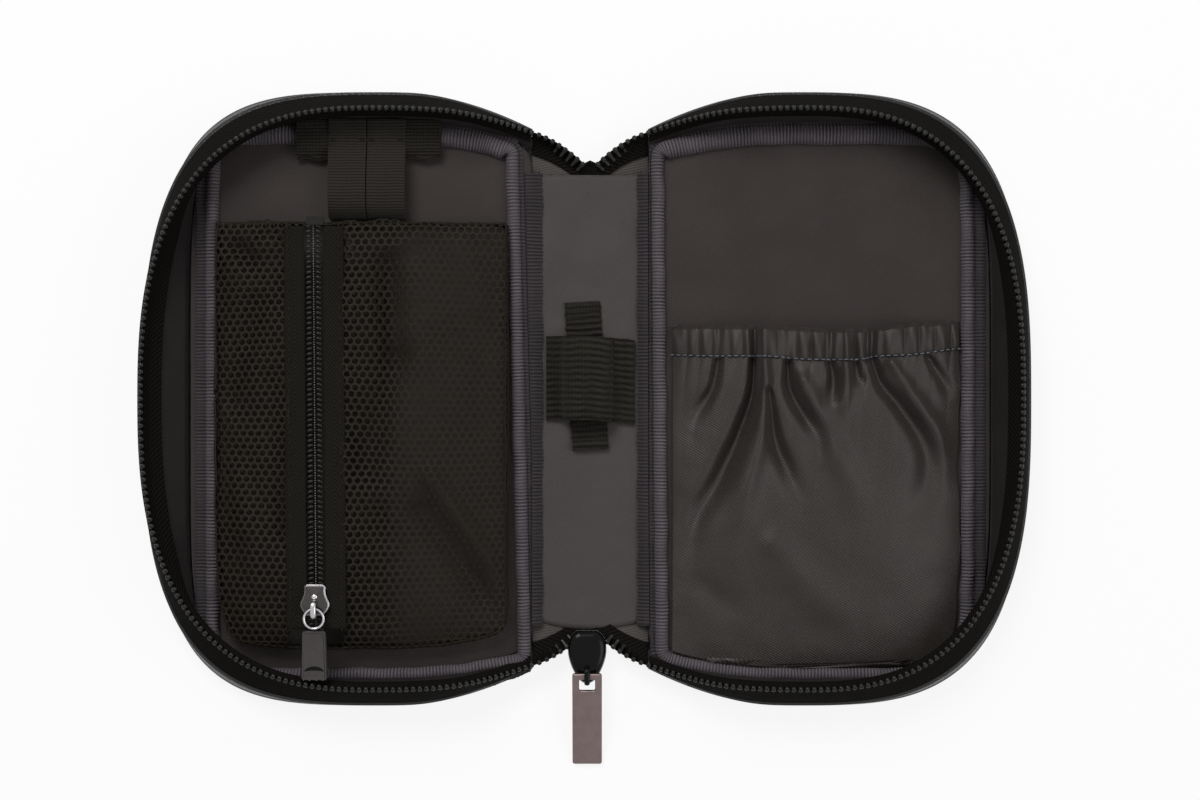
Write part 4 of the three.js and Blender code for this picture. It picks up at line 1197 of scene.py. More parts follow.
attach(make_spine_leather("spine_leather", -HINGE_X, HINGE_X), "spine")
for tray in trays.values():
    span = sorted((tray.side * HINGE_X, tray.side * TRAY_START_X))
    bend_at_fold(make_spine_leather(f"{tray.name}_hinge_leather", *span))
make_spine_lining()
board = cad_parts["spine_board"]
board.data.materials.clear()
board.data.materials.append(patch_cloth)

# %% [markdown]
# Beside each fold the lining's edge is bound with a narrow strip of the same ribbed tape. Its machine
# stitches pull the free edge into small scallops, so the edge is a row of half waves and not a line.

# %% Stitched strips beside the folds
STRIP_NEAR_X = {"left": 0.0128, "right": 0.0126}
STRIP_FAR_X = 0.0156
STRIP_BINDING_GAP = 0.0014
STRIP_END_Y = 0.0600
SCALLOP_PITCH = 0.0021
SCALLOP_DEPTH = 0.00022
STRIP_RISE = 0.0001
STRIP_SINK = 0.0002
STRIP_DRIFT = 0.00025
STRIP_RIB_DEPTH = 0.00006
STRIP_SEAM_X = 0.0007
STRIP_SEAM_Z = 0.00065
STRIP_SECTION = (
    (0.0, 0.0), (0.02, 0.0005), (0.25, 0.0009), (0.42, 0.0015), (0.6, 0.0019), (0.9, 0.0020), (1.0, 0.0012),
)


def make_fold_strip(tray):
    near = STRIP_NEAR_X[tray.name]
    y = np.arange(-STRIP_END_Y, STRIP_END_Y, RIB_PITCH / 6)
    binding_x = BINDING_FOLD_X[tray.name] + BINDING_SLANT[tray.name] * y
    far = np.maximum(STRIP_FAR_X, binding_x - STRIP_BINDING_GAP)
    scallop = SCALLOP_DEPTH * np.abs(np.sin(math.pi * y / SCALLOP_PITCH))
    drift = STRIP_DRIFT * puckers(y, 1.0, 3.0 * tray.side)
    rib = STRIP_RIB_DEPTH * np.sin(2 * math.pi * y / RIB_PITCH)
    base = spine_top + STRIP_RISE
    rings = []
    for share, height in STRIP_SECTION:
        x = near + (drift - scallop) * (1 - share) + share * (far - near)
        rings.append(lift(np.column_stack([x, y]), base + height + rib * (height > 0), tray.side))
    for share in (1.0, 0.0):
        x = near + share * (far - near)
        rings.append(lift(np.column_stack([x, y]), base - STRIP_SINK, tray.side))
    strip = skin(f"{tray.name}_fold_strip", np.stack(rings, axis=1))
    # The strip's tape is the binding's grosgrain coloured darker: painted shade.
    dress(strip, edge_grosgrain, "grosgrain_tape")
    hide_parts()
    bend_at_fold(strip)
    line = lift(np.column_stack([near + STRIP_SEAM_X + drift, y]), base + STRIP_SEAM_Z, tray.side)
    bend_at_fold(sew(f"{tray.name}_fold_stitches", line, net_thread, "grosgrain_tape", scale=0.7))


for tray in trays.values():
    make_fold_strip(tray)

# %% [markdown]
# At each end of the spine the two zip halves run down from the rims and meet in a notch. The tape turns
# over there from standing to lying, and a light cloth patch fills the corner. One path per corner gives
# the teeth's places, and the way the teeth point turns along it from the rim's to nearly level.

# %% Ends of the main zip at the notches
NOTCH_X = 0.0021
NOTCH_Y = 0.0620
NOTCH_Z = 0.0045
RIM_LEAVE = (-0.0048, -0.0013, -0.0006)
NOTCH_ARRIVE = (0.0034, 0.0033, 0.0004)
NOTCH_EDGE_Y = 0.0631
RIM_TOOTH_LEAN = 0.25
NOTCH_TOOTH_LEAN = 0.88
TEETH_STOP_X = {"top": 0.0, "bottom": 0.0045}
END_TAPE_WIDTH = 0.0056
TAPE_BEYOND = 0.0005
TAPE_BELOW = 0.0012
END_STEPS = 60
WEB_ROWS = 10
WEB_TUCK = 0.15
TAB_LIFT = 0.0009


def notch_path(tray, end):
    """From a tray's rim down to the notch, with the direction that the teeth point in."""
    start = tray.wall([0.0], "rim", TEETH_INSET, teeth_z)[0] * (tray.side, 1, 1)
    finish = np.array([NOTCH_X, NOTCH_Y, NOTCH_Z])
    knots = [start, start + RIM_LEAVE, finish + NOTCH_ARRIVE, finish]
    t = np.linspace(0, 1, END_STEPS)[:, None]
    weights = [(1 - t) ** 3, 3 * t * (1 - t) ** 2, 3 * t**2 * (1 - t), t**3]
    points = sum(weight * knot for weight, knot in zip(weights, knots))
    ahead = unit(np.gradient(points, axis=0)[:, :2])
    outward = lift(np.column_stack([ahead[:, 1], -ahead[:, 0]]), 0)
    outward *= np.sign(outward[:, 1:2])
    lean = RIM_TOOTH_LEAN * (1 - t) + NOTCH_TOOTH_LEAN * smooth_step(t * 1.4)
    ups = lean * outward + np.sqrt(np.maximum(1 - lean**2, 0)) * np.array(UP)
    turned = np.array([tray.side, 1 if end == "top" else -1, 1])
    return points * turned, ups * turned


def web(name, outer, inner, sag):
    """A strip of cloth between two edges. It falls away quickly at first and then lies flat."""
    rows = []
    for share in np.linspace(0, 1, WEB_ROWS):
        row = outer + share * (inner - outer)
        row[:, 2] = inner[:, 2] + (outer[:, 2] - inner[:, 2]) * (1 - share) ** sag
        rows.append(row)
    return panel(name, np.stack(rows, axis=1), TAPE_THICKNESS)


def make_zip_end(tray, end):
    points, ups = notch_path(tray, end)
    kept = np.abs(points[:, 0]) > TEETH_STOP_X[end]
    teeth = repeated(f"{tray.name}_{end}_end_teeth", points[kept], ups[kept], TOOTH_PITCH, tooth_tree)
    dress(teeth, None, "zip_coil", f"zip_end_teeth_{end}_{tray.name}")

    # The tape's outer edge runs below the beads and on to the middle of the notch.
    flip = 1 if end == "top" else -1
    middle = np.array([0.0, NOTCH_EDGE_Y * flip, NOTCH_Z - 0.0008])
    outer = np.vstack([points + ups * TAPE_BEYOND - (0, 0, TAPE_BELOW), middle])
    lining_y = LINING_END_Y if end == "top" else -lining_low(np.abs(outer[:, 0]))
    edge_y = np.broadcast_to((lining_y - MM) * flip, len(outer))
    edge = lift(np.column_stack([outer[:, 0], edge_y]), spine_top - 0.0002)
    room = np.abs(outer[:, 1] - edge[:, 1])
    share = np.minimum(END_TAPE_WIDTH / room, 1.0)[:, None]
    tape_edge = outer + share * (edge - outer)
    tape_edge[:, 2] = edge[:, 2] + TAB_LIFT * (1 - share[:, 0])
    tape = web(f"{tray.name}_{end}_end_tape", outer, tape_edge, 2.0)
    dress(tape, zip_tape_cloth, "zip_cloth", f"zip_end_tab_{end}")
    bending = [teeth, tape]

    # Where the tape doesn't reach the lining, a light patch shows between them.
    wide = share[:, 0] < 0.97
    if wide.sum() > 2:
        tucked = (tape_edge + WEB_TUCK * (outer - tape_edge))[wide]
        tucked[:, 2] = tape_edge[wide, 2] - 0.0004
        patch = map_flat(web(f"{tray.name}_{end}_corner_patch", tucked, edge[wide] - (0, 0, 0.0006), 1.0))
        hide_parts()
        bending.append(dress(patch, patch_cloth, "lining_cloth"))
    for piece in bending:
        bend_at_fold(piece)


for tray in trays.values():
    for end in ("top", "bottom"):
        make_zip_end(tray, end)
print("zip ends meet at", NOTCH_Y)

# %% [markdown]
# The pen loop is a strap of heavy ribbed webbing sewn down the spine, with a wide elastic band over it.
# The band's two feet lie flat and its middle stands up in two soft humps. It's a sheet over a section
# given as a list of points, and its ribs are real ridges, because they break up its outline at the open end.

# %% Pen loop on the spine
PEN_RIB_PITCH = 0.00172
PEN_RIB_DEPTH = 0.00022
STRAP_WIDTH = 0.0094
STRAP_LENGTH = 0.0388
STRAP_MIDDLE = (-0.0010, 0.0061)
STRAP_SLANT_DEG = 3.2
STRAP_THICKNESS = 0.0009
BAND_LENGTH = 0.0222
BAND_MIDDLE_Y = 0.0055
BAND_THICKNESS = 0.0008
STRAP_RIB_STEPS = 8
BAND_RIB_STEPS = 10
FOLD_OVER_LENGTH = 0.0022
BAND_SECTION = (
    (-0.0117, 0.0009), (-0.0100, 0.0010), (-0.0083, 0.0012), (-0.0074, 0.0024), (-0.0071, 0.0042),
    (-0.0062, 0.0059), (-0.0042, 0.0068), (-0.0019, 0.0067), (-0.0002, 0.0060), (0.0014, 0.0065),
    (0.0032, 0.0066), (0.0050, 0.0057), (0.0058, 0.0040), (0.0062, 0.0021), (0.0072, 0.0011),
    (0.0090, 0.0010),
    (0.0100, 0.0013), (0.0118, 0.0009),
)
strap_base = spine_top + 0.0002


def ribs_at(place, roundness):
    """1 on top of a rib of the webbing and 0 between two of them."""
    return np.abs(np.sin(math.pi * place / PEN_RIB_PITCH)) ** roundness


def make_pen_strap():
    half = STRAP_LENGTH / 2
    across = np.linspace(-STRAP_WIDTH / 2, STRAP_WIDTH / 2, 26)
    turn = math.radians(STRAP_SLANT_DEG)
    grid = []
    for v in np.linspace(-half, half, int(STRAP_LENGTH / PEN_RIB_PITCH * STRAP_RIB_STEPS)):
        rib = ribs_at(v, 0.7)
        knots = 0.00012 * np.sin(across * 2 * math.pi / 0.0009 + (int(v / PEN_RIB_PITCH) % 2) * math.pi)
        edge_fall = 0.0003 * np.abs(across / STRAP_WIDTH * 2) ** 6
        fold = 0.0007 * smooth_step((FOLD_OVER_LENGTH - half - v) / 0.0006)
        z = strap_base + STRAP_THICKNESS + (rib - 1) * PEN_RIB_DEPTH * 1.6 + knots * rib - edge_fall + fold
        u = across + 0.00012 * rib * np.sign(across)
        x = STRAP_MIDDLE[0] + u * math.cos(turn) - v * math.sin(turn)
        y = STRAP_MIDDLE[1] + u * math.sin(turn) + v * math.cos(turn)
        grid.append(np.column_stack([x, y, z]))
    strap = panel("pen_strap", np.stack(grid), STRAP_THICKNESS)
    dress(strap, webbing, "elastic_webbing", "pen_loop_strap", body="spine")


def make_pen_band():
    section = smooth_curve(BAND_SECTION, 150)
    walked = walked_along(section)
    ahead = unit(np.gradient(section, axis=0))
    out = np.column_stack([-ahead[:, 1], ahead[:, 0]])
    half = BAND_LENGTH / 2
    waves = walked * 2 * math.pi
    sway = 0.0005 * np.sin(waves / 0.0105 + 0.8) + 0.00025 * np.sin(waves / 0.0037)
    knots = 0.00007 * np.sin(waves / 0.00085)
    rows = []
    for v in np.linspace(-half, half, int(BAND_LENGTH / PEN_RIB_PITCH * BAND_RIB_STEPS)):
        rib = ribs_at(v + sway, 0.8)
        x, z = (section + out * ((rib - 1) * PEN_RIB_DEPTH + knots * rib)[:, None]).T
        z = z - 0.0005 * (abs(v) / half) ** 6 * (z > 0.002)
        skew = 0.0011 * (x / BAND_SECTION[-1][0]) * (x > 0)
        rows.append(np.column_stack([x, BAND_MIDDLE_Y - skew + v, strap_base + z]))
    band = panel("pen_band", np.stack(rows), BAND_THICKNESS)
    dress(band, webbing, "elastic_webbing", "pen_loop_band", body="spine")
    print("pen band is cut", round(walked[-1], 4), "long")


make_pen_strap()
make_pen_band()

# %% [markdown]
# Two elastic loops stand at the head of the left tray. Each strip is sewn flat to a knitted base, comes up
# in a round arch and goes down behind the pouch. A listed side profile is swept across.

# %% Elastic loops and their base
LOOP_PROFILE = (
    (0.0736, 0.0088), (0.0715, 0.0086), (0.0690, 0.0083), (0.0680, 0.0081), (0.0668, 0.0086),
    (0.0640, 0.0098),
    (0.0595, 0.0112), (0.0545, 0.0118), (0.0506, 0.0110), (0.0482, 0.0090), (0.0474, 0.0062),
    (0.0476, 0.0047),
)
LOOP_THICKNESS = 0.0009
LOOP_SEAM_Y = 0.0682
LOOP_SEAM_Z = 0.0083
LOOP_RIB_PITCH = 0.0008
LOOP_SPREAD = 0.00018
BASE_SPAN_Y = (0.0632, 0.0734)
BASE_THICKNESS = 0.0008
BASE_CLIMB = 0.0012
BASE_CLIMB_LENGTH = 0.0030
WAFFLE_PITCH = 0.0013
WAFFLE_DEPTH = 0.00012
left_body = "left_shell"
left_floor_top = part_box("left_lining")[1].z


def make_loop(name, node):
    low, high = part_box(node)
    profile = smooth_curve(LOOP_PROFILE, 90)
    x = np.linspace(low.x - LOOP_SPREAD, high.x + LOOP_SPREAD, 60)
    middle = (low.x + high.x) / 2
    ribs = 0.00005 * np.sin(2 * math.pi * x / LOOP_RIB_PITCH)
    curl = 0.0002 * np.abs((x - middle) / (x[-1] - middle)) ** 4
    grid = [np.column_stack([x, np.full_like(x, y), z + ribs - curl * (z > 0.007)]) for y, z in profile]
    loop = panel(name, np.stack(grid), LOOP_THICKNESS)
    dress(loop, elastic, "elastic_webbing", node, body=left_body)


def sew_loop(count, node):
    """The row of stitches that holds one strip to its base."""
    low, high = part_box(node)
    seam = np.linspace((low.x + MM, LOOP_SEAM_Y, LOOP_SEAM_Z), (high.x - MM, LOOP_SEAM_Y, LOOP_SEAM_Z), 12)
    sew(f"loop_stitches_{count}", seam, net_thread, "elastic_webbing", left_body, scale=0.8)


def make_loop_base():
    low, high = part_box("loop_base")
    x = np.linspace(low.x, high.x, 120)
    start, end = BASE_SPAN_Y
    grid = []
    for v in np.linspace(start, end, 40):
        bumps = np.abs(np.sin(math.pi * x / WAFFLE_PITCH)) + abs(math.sin(math.pi * v / WAFFLE_PITCH))
        edge = 0.0003 * np.sin(x * 900) * ((v - start) < MM)
        climb = BASE_CLIMB * smooth_step((v - start) / BASE_CLIMB_LENGTH)
        grid.append(np.column_stack([x, v + edge, low.z + BASE_THICKNESS + climb + WAFFLE_DEPTH * bumps]))
    base = panel("loop_base_cloth", np.stack(grid), BASE_THICKNESS)
    dress(base, waffle, "elastic_webbing", "loop_base", body=left_body)


make_loop_base()
make_loop("elastic_loop_near", "elastic_loop_inner")
make_loop("elastic_loop_far", "elastic_loop_outer")
sew_loop(0, "elastic_loop_inner")
sew_loop(1, "elastic_loop_outer")

# %% [markdown]
# The pouch is warp-knitted net, with rows of six-sided meshes. The tree that makes it starts from a plain
# honeycomb: every face is drawn in by one share, its middle is deleted, and one subdivision rounds the
# hole. The cloth's own form comes first, from a crown and a few listed folds.

# %% Net by geometry nodes
NET_CELL = (0.00103, 0.00172)
NET_THICKNESS = 0.00030
NET_HOLE = 0.80
NET_ZIGZAG = 0.17
NET_PULL = 0.0004
NET_CLOTH_SHARE = 0.64
LEAST_CELL_SHARE = 0.35
CELL_STEPS = ((0, 0), (0, 1), (0, 2), (1, 2), (1, 1), (1, 0))


def net_tree():
    tree = Tree("net_tree")
    faces = {"Mesh": tree.input("Geometry"), "Offset Scale": 0.0, "Individual": True}
    drawn = tree.node("GeometryNodeExtrudeMesh", inputs=faces)
    top = drawn.outputs["Top"]
    middles = {"Geometry": drawn, "Selection": top, "Scale": NET_HOLE}
    shrunk = tree.node("GeometryNodeScaleElements", inputs=middles)
    picked = {"Geometry": shrunk, "Selection": top}
    holed = tree.node("GeometryNodeDeleteGeometry", {"domain": "FACE"}, picked)
    joined = tree.node("GeometryNodeMergeByDistance", inputs={"Geometry": holed, "Distance": 0.00001})
    rounded = tree.node("GeometryNodeSubdivisionSurface", inputs={"Mesh": joined, "Level": 1})
    return tree.finish(rounded, net_thread)


net_group = net_tree()


def net_piece(name, grid, *nodes):
    """Net over a grid of points: rows of six-sided meshes, each row half a mesh further on."""
    across_step = np.gradient(grid, axis=1)
    along_step = np.gradient(grid, axis=0)
    row, column = np.meshgrid(*(np.arange(count) for count in grid.shape[:2]), indexing="ij")
    even = (row + column) % 2 == 0
    points = grid + along_step * np.where(even, NET_ZIGZAG, -NET_ZIGZAG)[:, :, None]
    wide = np.linalg.norm(across_step, axis=2) > NET_CELL[0] * LEAST_CELL_SHARE
    tall = np.linalg.norm(along_step, axis=2) > NET_CELL[1] * LEAST_CELL_SHARE
    i, j = np.nonzero(even[:-1, :-2] & (wide & tall)[:-1, 1:-1] & tall[1:, 1:-1])
    faces = np.column_stack([(i + a) * grid.shape[1] + j + b for a, b in CELL_STEPS])
    mesh = bpy.data.meshes.new(name)
    mesh.from_pydata(points.reshape(-1, 3).tolist(), [], faces.tolist())
    host = into_scene(bpy.data.objects.new(name, mesh))
    net = link(name, from_tree(name, net_group, host), smooth_angle=180)
    wall = net.modifiers.new("thickness", "SOLIDIFY")
    wall.thickness = NET_THICKNESS
    wall.offset = 0
    return dress(net, None, "mesh_net", *nodes, body=left_body)


def beside_line(x, y, start, end):
    """How far along a straight line places are, as a share of it, and how far away from it."""
    line = end - start
    share = np.clip(((x - start[0]) * line[0] + (y - start[1]) * line[1]) / (line @ line), 0, 1)
    return share, np.hypot(x - start[0] - share * line[0], y - start[1] - share * line[1])


def ridge(x, y, start, end, width, height):
    """A soft fold along a straight line: a ridge, or a valley when its height is negative."""
    return height * np.exp(-((beside_line(x, y, np.array(start), np.array(end))[1] / width) ** 2))


# %% [markdown]
# The net bulges between the zip and the pouch's edges. The outline is the tray's own floor line, moved
# inwards, so the pouch keeps the same gap to the binding all round. The folds were read off the
# photograph: a long slanting one low down, a tuck near the top, and a dark hollow beside the zip.

# %% Mesh pouch
POUCH_GAP = 0.0082
POUCH_TOP_Y = 0.0465
POUCH_NEAR_X = 0.0222
POUCH_EDGE_Z = 0.0098
POUCH_RISE = 0.0050
POUCH_ZIP_TOP = (-0.0721, 0.0450)
POUCH_ZIP_BOTTOM = (-0.0713, -0.0600)
POUCH_TAPE_REACH = (0.0024, 0.0078)
POUCH_FOLDS = (
    ((-0.0415, -0.0200), (-0.0220, -0.0480), 0.0026, 0.0022),
    ((-0.0440, -0.0290), (-0.0250, -0.0560), 0.0034, -0.0024),
    ((-0.0440, 0.0440), (-0.0530, 0.0385), 0.0026, 0.0014),
    ((-0.0530, 0.0360), (-0.0510, 0.0120), 0.0034, -0.0026),
    ((-0.0500, 0.0100), (-0.0590, -0.0180), 0.0040, -0.0018),
    ((-0.0330, 0.0420), (-0.0300, 0.0250), 0.0040, 0.0008),
    ((-0.0560, -0.0300), (-0.0620, -0.0560), 0.0032, -0.0010),
    ((-0.0300, -0.0080), (-0.0270, 0.0200), 0.0040, -0.0007),
    ((-0.0920, 0.0400), (-0.0890, 0.0370), 0.0024, -0.0022),
    ((-0.0960, 0.0330), (-0.0830, 0.0420), 0.0026, 0.0010),
    ((-0.0870, 0.0250), (-0.0940, 0.0000), 0.0030, -0.0012),
    ((-0.0830, 0.0050), (-0.0800, -0.0350), 0.0028, -0.0010),
    ((-0.0930, -0.0200), (-0.0860, -0.0480), 0.0030, 0.0010),
)
POUCH_FOLD_STRENGTH = 1.5
ZIP_REACH = 0.0066
TUCK_REACH = (0.0060, 0.0190)
NET_SLACK = (1.04, 1.02)
INSIDE_DROP = 0.0016
TUCK_DROP = 0.0015


def zip_x_at(y):
    share = (np.asarray(y) - POUCH_ZIP_BOTTOM[1]) / (POUCH_ZIP_TOP[1] - POUCH_ZIP_BOTTOM[1])
    return POUCH_ZIP_BOTTOM[0] + share * (POUCH_ZIP_TOP[0] - POUCH_ZIP_BOTTOM[0])


def pouch_top_at(x):
    """The open top edge isn't straight: the net is drawn in between its seams."""
    drawn_in = 0.0015 * smooth_step((x + 0.04) / 0.02)
    return POUCH_TOP_Y + 0.0006 * np.sin(x * 210 + 0.5) + 0.0005 * np.sin(x * 560) - drawn_in


def pouch_reach(y):
    return left_floor.reach_at(y) - POUCH_GAP


def pouch_low(x):
    return -(left_floor.height_at(np.abs(x)) - POUCH_GAP)


def pouch_height(x, y):
    middle = zip_x_at(y)
    reach = np.where(x < middle, pouch_reach(y) + middle, -POUCH_NEAR_X - middle)
    across = np.clip(np.abs(x - middle) / np.maximum(reach, MM), 0, 1)
    low = pouch_low(x)
    along = np.clip(np.abs((y - low) / (POUCH_TOP_Y - low) * 2 - 1), 0, 1)
    crown = (1 - across**3) * (1 - along**9)
    ripple = 0.0004 * np.sin(x * 330 + y * 120) * np.sin(y * 190 - x * 60)
    folds = POUCH_FOLD_STRENGTH * sum(ridge(x, y, *fold) for fold in POUCH_FOLDS)
    return POUCH_EDGE_Z + POUCH_RISE * crown + (folds + ripple) * smooth_step(crown * 2.2)


def pouch_grid(low_x, high_x, cell_share=1.0, drop=0.0):
    """A regular lattice between the zip and the pouch's outline, squeezed onto the outline at its rim."""
    cell = np.array(NET_CELL) * cell_share
    columns = np.arange(low_x, high_x + cell[0], cell[0])
    rows = np.arange(pouch_low_y, POUCH_TOP_Y + cell[1], cell[1])
    x, y = np.meshgrid(columns, rows)
    for _ in range(2):
        x = np.clip(x, np.maximum(-pouch_reach(y), low_x), high_x)
        low = pouch_low(x)
        y = np.clip(y, low, pouch_top_at(x))
    inside = (x > low_x) & (x < high_x) & (y < pouch_top_at(x)) & (y > low)
    pull_x = np.sin(y * 70 + x * 40) + 0.3 * np.sin(y * 190 - x * 110) + 0.15 * np.sin(y * 700 + x * 300)
    pull_y = np.sin(x * 60 - y * 45) + 0.3 * np.sin(x * 150 + y * 90)
    pulled = [place + NET_PULL * pull * inside for place, pull in ((x, pull_x), (y, pull_y))]
    return np.dstack([*pulled, pouch_height(x, y) - drop])


def make_pouch_net(name, span, *nodes, **lattice):
    net = net_piece(name, pouch_grid(*span, **lattice), *nodes)
    cut = ((span[1] - span[0]) * NET_SLACK[0], (POUCH_TOP_Y - pouch_low_y) * NET_SLACK[1])
    cloth = NET_CLOTH_SHARE * cut[0] * cut[1]


def make_pouch_side():
    """The net's side wall, from the pouch's edge down to the tray's floor."""
    rim = tray_outline(left_floor, POUCH_GAP, POUCH_NEAR_X, 0.004, 900)
    kept = rim[rim[:, 1] < POUCH_TOP_Y - 0.0005]
    start = int(np.argmax(np.linalg.norm(np.diff(kept, axis=0), axis=1))) + 1
    path = np.vstack([kept[start:], kept[:start]])
    top_x = np.linspace(path[-1, 0], path[0, 0], 60)
    path = np.vstack([path, np.column_stack([top_x, pouch_top_at(-top_x)])])
    walk = even_walk(path, NET_CELL[0]) * (-1, 1)
    swell = puckers(np.linspace(0, 1, len(walk)), 0.36, 4.0)
    heights = np.arange(left_floor_top + 0.0002, POUCH_EDGE_Z + NET_CELL[1] * 0.7, NET_CELL[1] * 0.8)
    away = unit(walk - walk.mean(axis=0))
    rows = []
    for height in heights:
        climb = (height - heights[0]) / (heights[-1] - heights[0])
        bulge = 0.0007 * math.sin(math.pi * climb) + 0.0003 * swell * climb
        rows.append(lift(walk + away * bulge[:, None], height))
    side = net_piece("pouch_net_side", np.stack(rows), "mesh_gusset")
    height = heights[-1] - heights[0]


left_floor = trays["left"].lines["floor"]
pouch_low_y = pouch_low(CREST_X)
zip_x = zip_x_at(0.0)
near_span = (zip_x + ZIP_REACH, -POUCH_NEAR_X)
far_span = (-pouch_reach(0.0), zip_x - ZIP_REACH)
tuck_span = (zip_x + TUCK_REACH[0], zip_x + TUCK_REACH[1])
make_pouch_net("pouch_net_near", near_span, "mesh_panel_inner")
make_pouch_net("pouch_net_far", far_span, "mesh_panel_outer")
make_pouch_net("pouch_net_inside", far_span, cell_share=1.09, drop=INSIDE_DROP)
make_pouch_net("pouch_net_tuck", tuck_span, cell_share=1.07, drop=TUCK_DROP)
make_pouch_side()

# %% [markdown]
# The pouch's zip is a coil: each turn shows as a slanting bar on both sides of a dotted sewing thread.
# One turn is modelled, and the same tree that lays stitches repeats it down the tape.

# %% Zip of the pouch
COIL_PITCH = 0.0013
COIL_RADIUS = 0.00042
COIL_BAR_LENGTH = 0.0019
COIL_BAR_CENTRE = 0.00125
COIL_SLANT = 0.28
CORD_PITCH = 0.00065
CORD_DROP = 0.0001
CORD_DOT = (0.00036, 0.00013)
POUCH_TAPE_THICKNESS = 0.0004
coil_low, coil_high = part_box("pouch_zip_teeth")
coil_z = (coil_low.z + coil_high.z) / 2


def coil_turn():
    """Two slanting bars, left and right of the chain's middle. The chain runs along X here."""
    whole = bmesh.new()
    for side in (-1, 1):
        bar = capsule(COIL_BAR_LENGTH, COIL_RADIUS, sides=8, sink=0.3)
        turn = Matrix.Rotation(math.pi / 2 + side * COIL_SLANT, 4, "Z")
        place = Matrix.Translation((0, side * COIL_BAR_CENTRE, 0)) @ turn
        bmesh.ops.transform(bar, matrix=place, verts=bar.verts)
        part = bpy.data.meshes.new("coil_bar")
        bar.to_mesh(part)
        bar.free()
        whole.from_mesh(part)
    return whole


def make_pouch_tape(name, node, side):
    near, far = POUCH_TAPE_REACH
    y = np.linspace(POUCH_ZIP_BOTTOM[1], POUCH_ZIP_TOP[1], 220)
    rows = []
    for share in np.linspace(0, 1, 12):
        roll = 0.0003 * np.sin(y * 130 + side) * share + 0.00015 * np.sin(y * 420) * share
        z = coil_low.z + POUCH_TAPE_THICKNESS + roll - 0.0004 * share**3
        rows.append(np.column_stack([zip_x_at(y) + side * (near + share * (far - near)), y, z]))
    tape = panel(f"pouch_tape_{name}", np.stack(rows, axis=1), POUCH_TAPE_THICKNESS)
    dress(tape, pouch_tape_cloth, "zip_cloth", node, body=left_body)
    seam = lift(np.column_stack([zip_x_at(y) + side * (far - 0.0012), y]), coil_low.z + 0.0005)
    sew(f"pouch_tape_stitches_{name}", seam, net_thread, "zip_cloth", left_body, scale=0.7)


def make_pouch_coil():
    line = np.linspace((*POUCH_ZIP_BOTTOM, coil_z), (*POUCH_ZIP_TOP, coil_z), 200)
    tree = repeat_tree("coil_tree", unit_object("coil_turn", coil_turn()), zip_plastic)
    coil = repeated("pouch_coil", line, facing(line, UP), COIL_PITCH, tree)
    dress(coil, None, "zip_coil", "pouch_zip_teeth", body=left_body)
    dot = unit_object("cord_dot", capsule(*CORD_DOT))
    cord = line - (0, 0, CORD_DROP)
    sew("pouch_coil_cord", cord, pale_thread, "zip_coil", left_body, CORD_PITCH, stitch=dot)


make_pouch_coil()
make_pouch_tape("near", "pouch_tape_inner", 1)
make_pouch_tape("far", "pouch_tape_outer", -1)
for stop in ("pouch_stop_top", "pouch_stop_bottom"):
    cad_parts[stop].data.materials.clear()
    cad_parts[stop].data.materials.append(zip_plastic)

# %% [markdown]
# The metal parts are small plates with rounded edges. A plate is a given outline, repeated at a
# few heights with its own inset, so every edge has a bevel that catches the light. A tab with a slot is
# the same idea swept the other way: one cross section goes round between the outline and the hole.


# %% Helpers for small metal parts
LEAST_STEP = 1e-7
CLOSE_SHARE = 0.03
TUBE_SIDES = 12
BAIL_RADIUS = 0.0004


def rounded_outline(corners, radius, per_corner=6):
    """A closed outline through given corners, each of them rounded."""
    corners = np.asarray(corners, float)
    points = []
    for before, here, after in zip(np.roll(corners, 1, axis=0), corners, np.roll(corners, -1, axis=0)):
        start = here + (before - here) / np.linalg.norm(before - here) * radius
        finish = here + (after - here) / np.linalg.norm(after - here) * radius
        for t in np.linspace(0, 1, per_corner):
            points.append((1 - t) ** 2 * start + 2 * t * (1 - t) * here + t**2 * finish)
    path = np.vstack([points, points[:1]])
    keep = np.concatenate([[True], np.diff(walked_along(path)) > LEAST_STEP])
    return path[keep][:-1]


def inset_outline(outline, amount):
    """The outline moved inwards along its own normals."""
    ahead = unit(np.roll(outline, -1, axis=0) - np.roll(outline, 1, axis=0))
    normal = np.column_stack([-ahead[:, 1], ahead[:, 0]])
    turns = np.sum(outline[:, 0] * np.roll(outline[:, 1], -1) - np.roll(outline[:, 0], -1) * outline[:, 1])
    return outline + normal * amount * np.sign(turns)


def plate(name, outline, levels):
    """A closed plate: levels give an inset and a height, from the underside up to the top face."""
    centre = outline.mean(axis=0)
    shares = [CLOSE_SHARE, *[1.0] * len(levels), CLOSE_SHARE]
    rings = []
    for share, (inset, height) in zip(shares, [levels[0], *levels, levels[-1]]):
        rings.append(lift(centre + share * (inset_outline(outline, inset) - centre), height))
    return skin(name, np.stack(rings), smooth_angle=35)


def along_rays(outline, centre, angles):
    """The outline's points in given directions from a centre that sees all of it."""
    away = outline - centre
    found = np.unwrap(np.arctan2(away[:, 1], away[:, 0]))
    order = np.argsort(found)
    turn = 2 * math.pi
    spread = np.concatenate([found[order] - turn, found[order], found[order] + turn])
    lengths = np.hypot(away[:, 0], away[:, 1])[order]
    reach = np.interp(angles, spread, np.tile(lengths, 3))
    return centre + reach[:, None] * np.column_stack([np.cos(angles), np.sin(angles)])


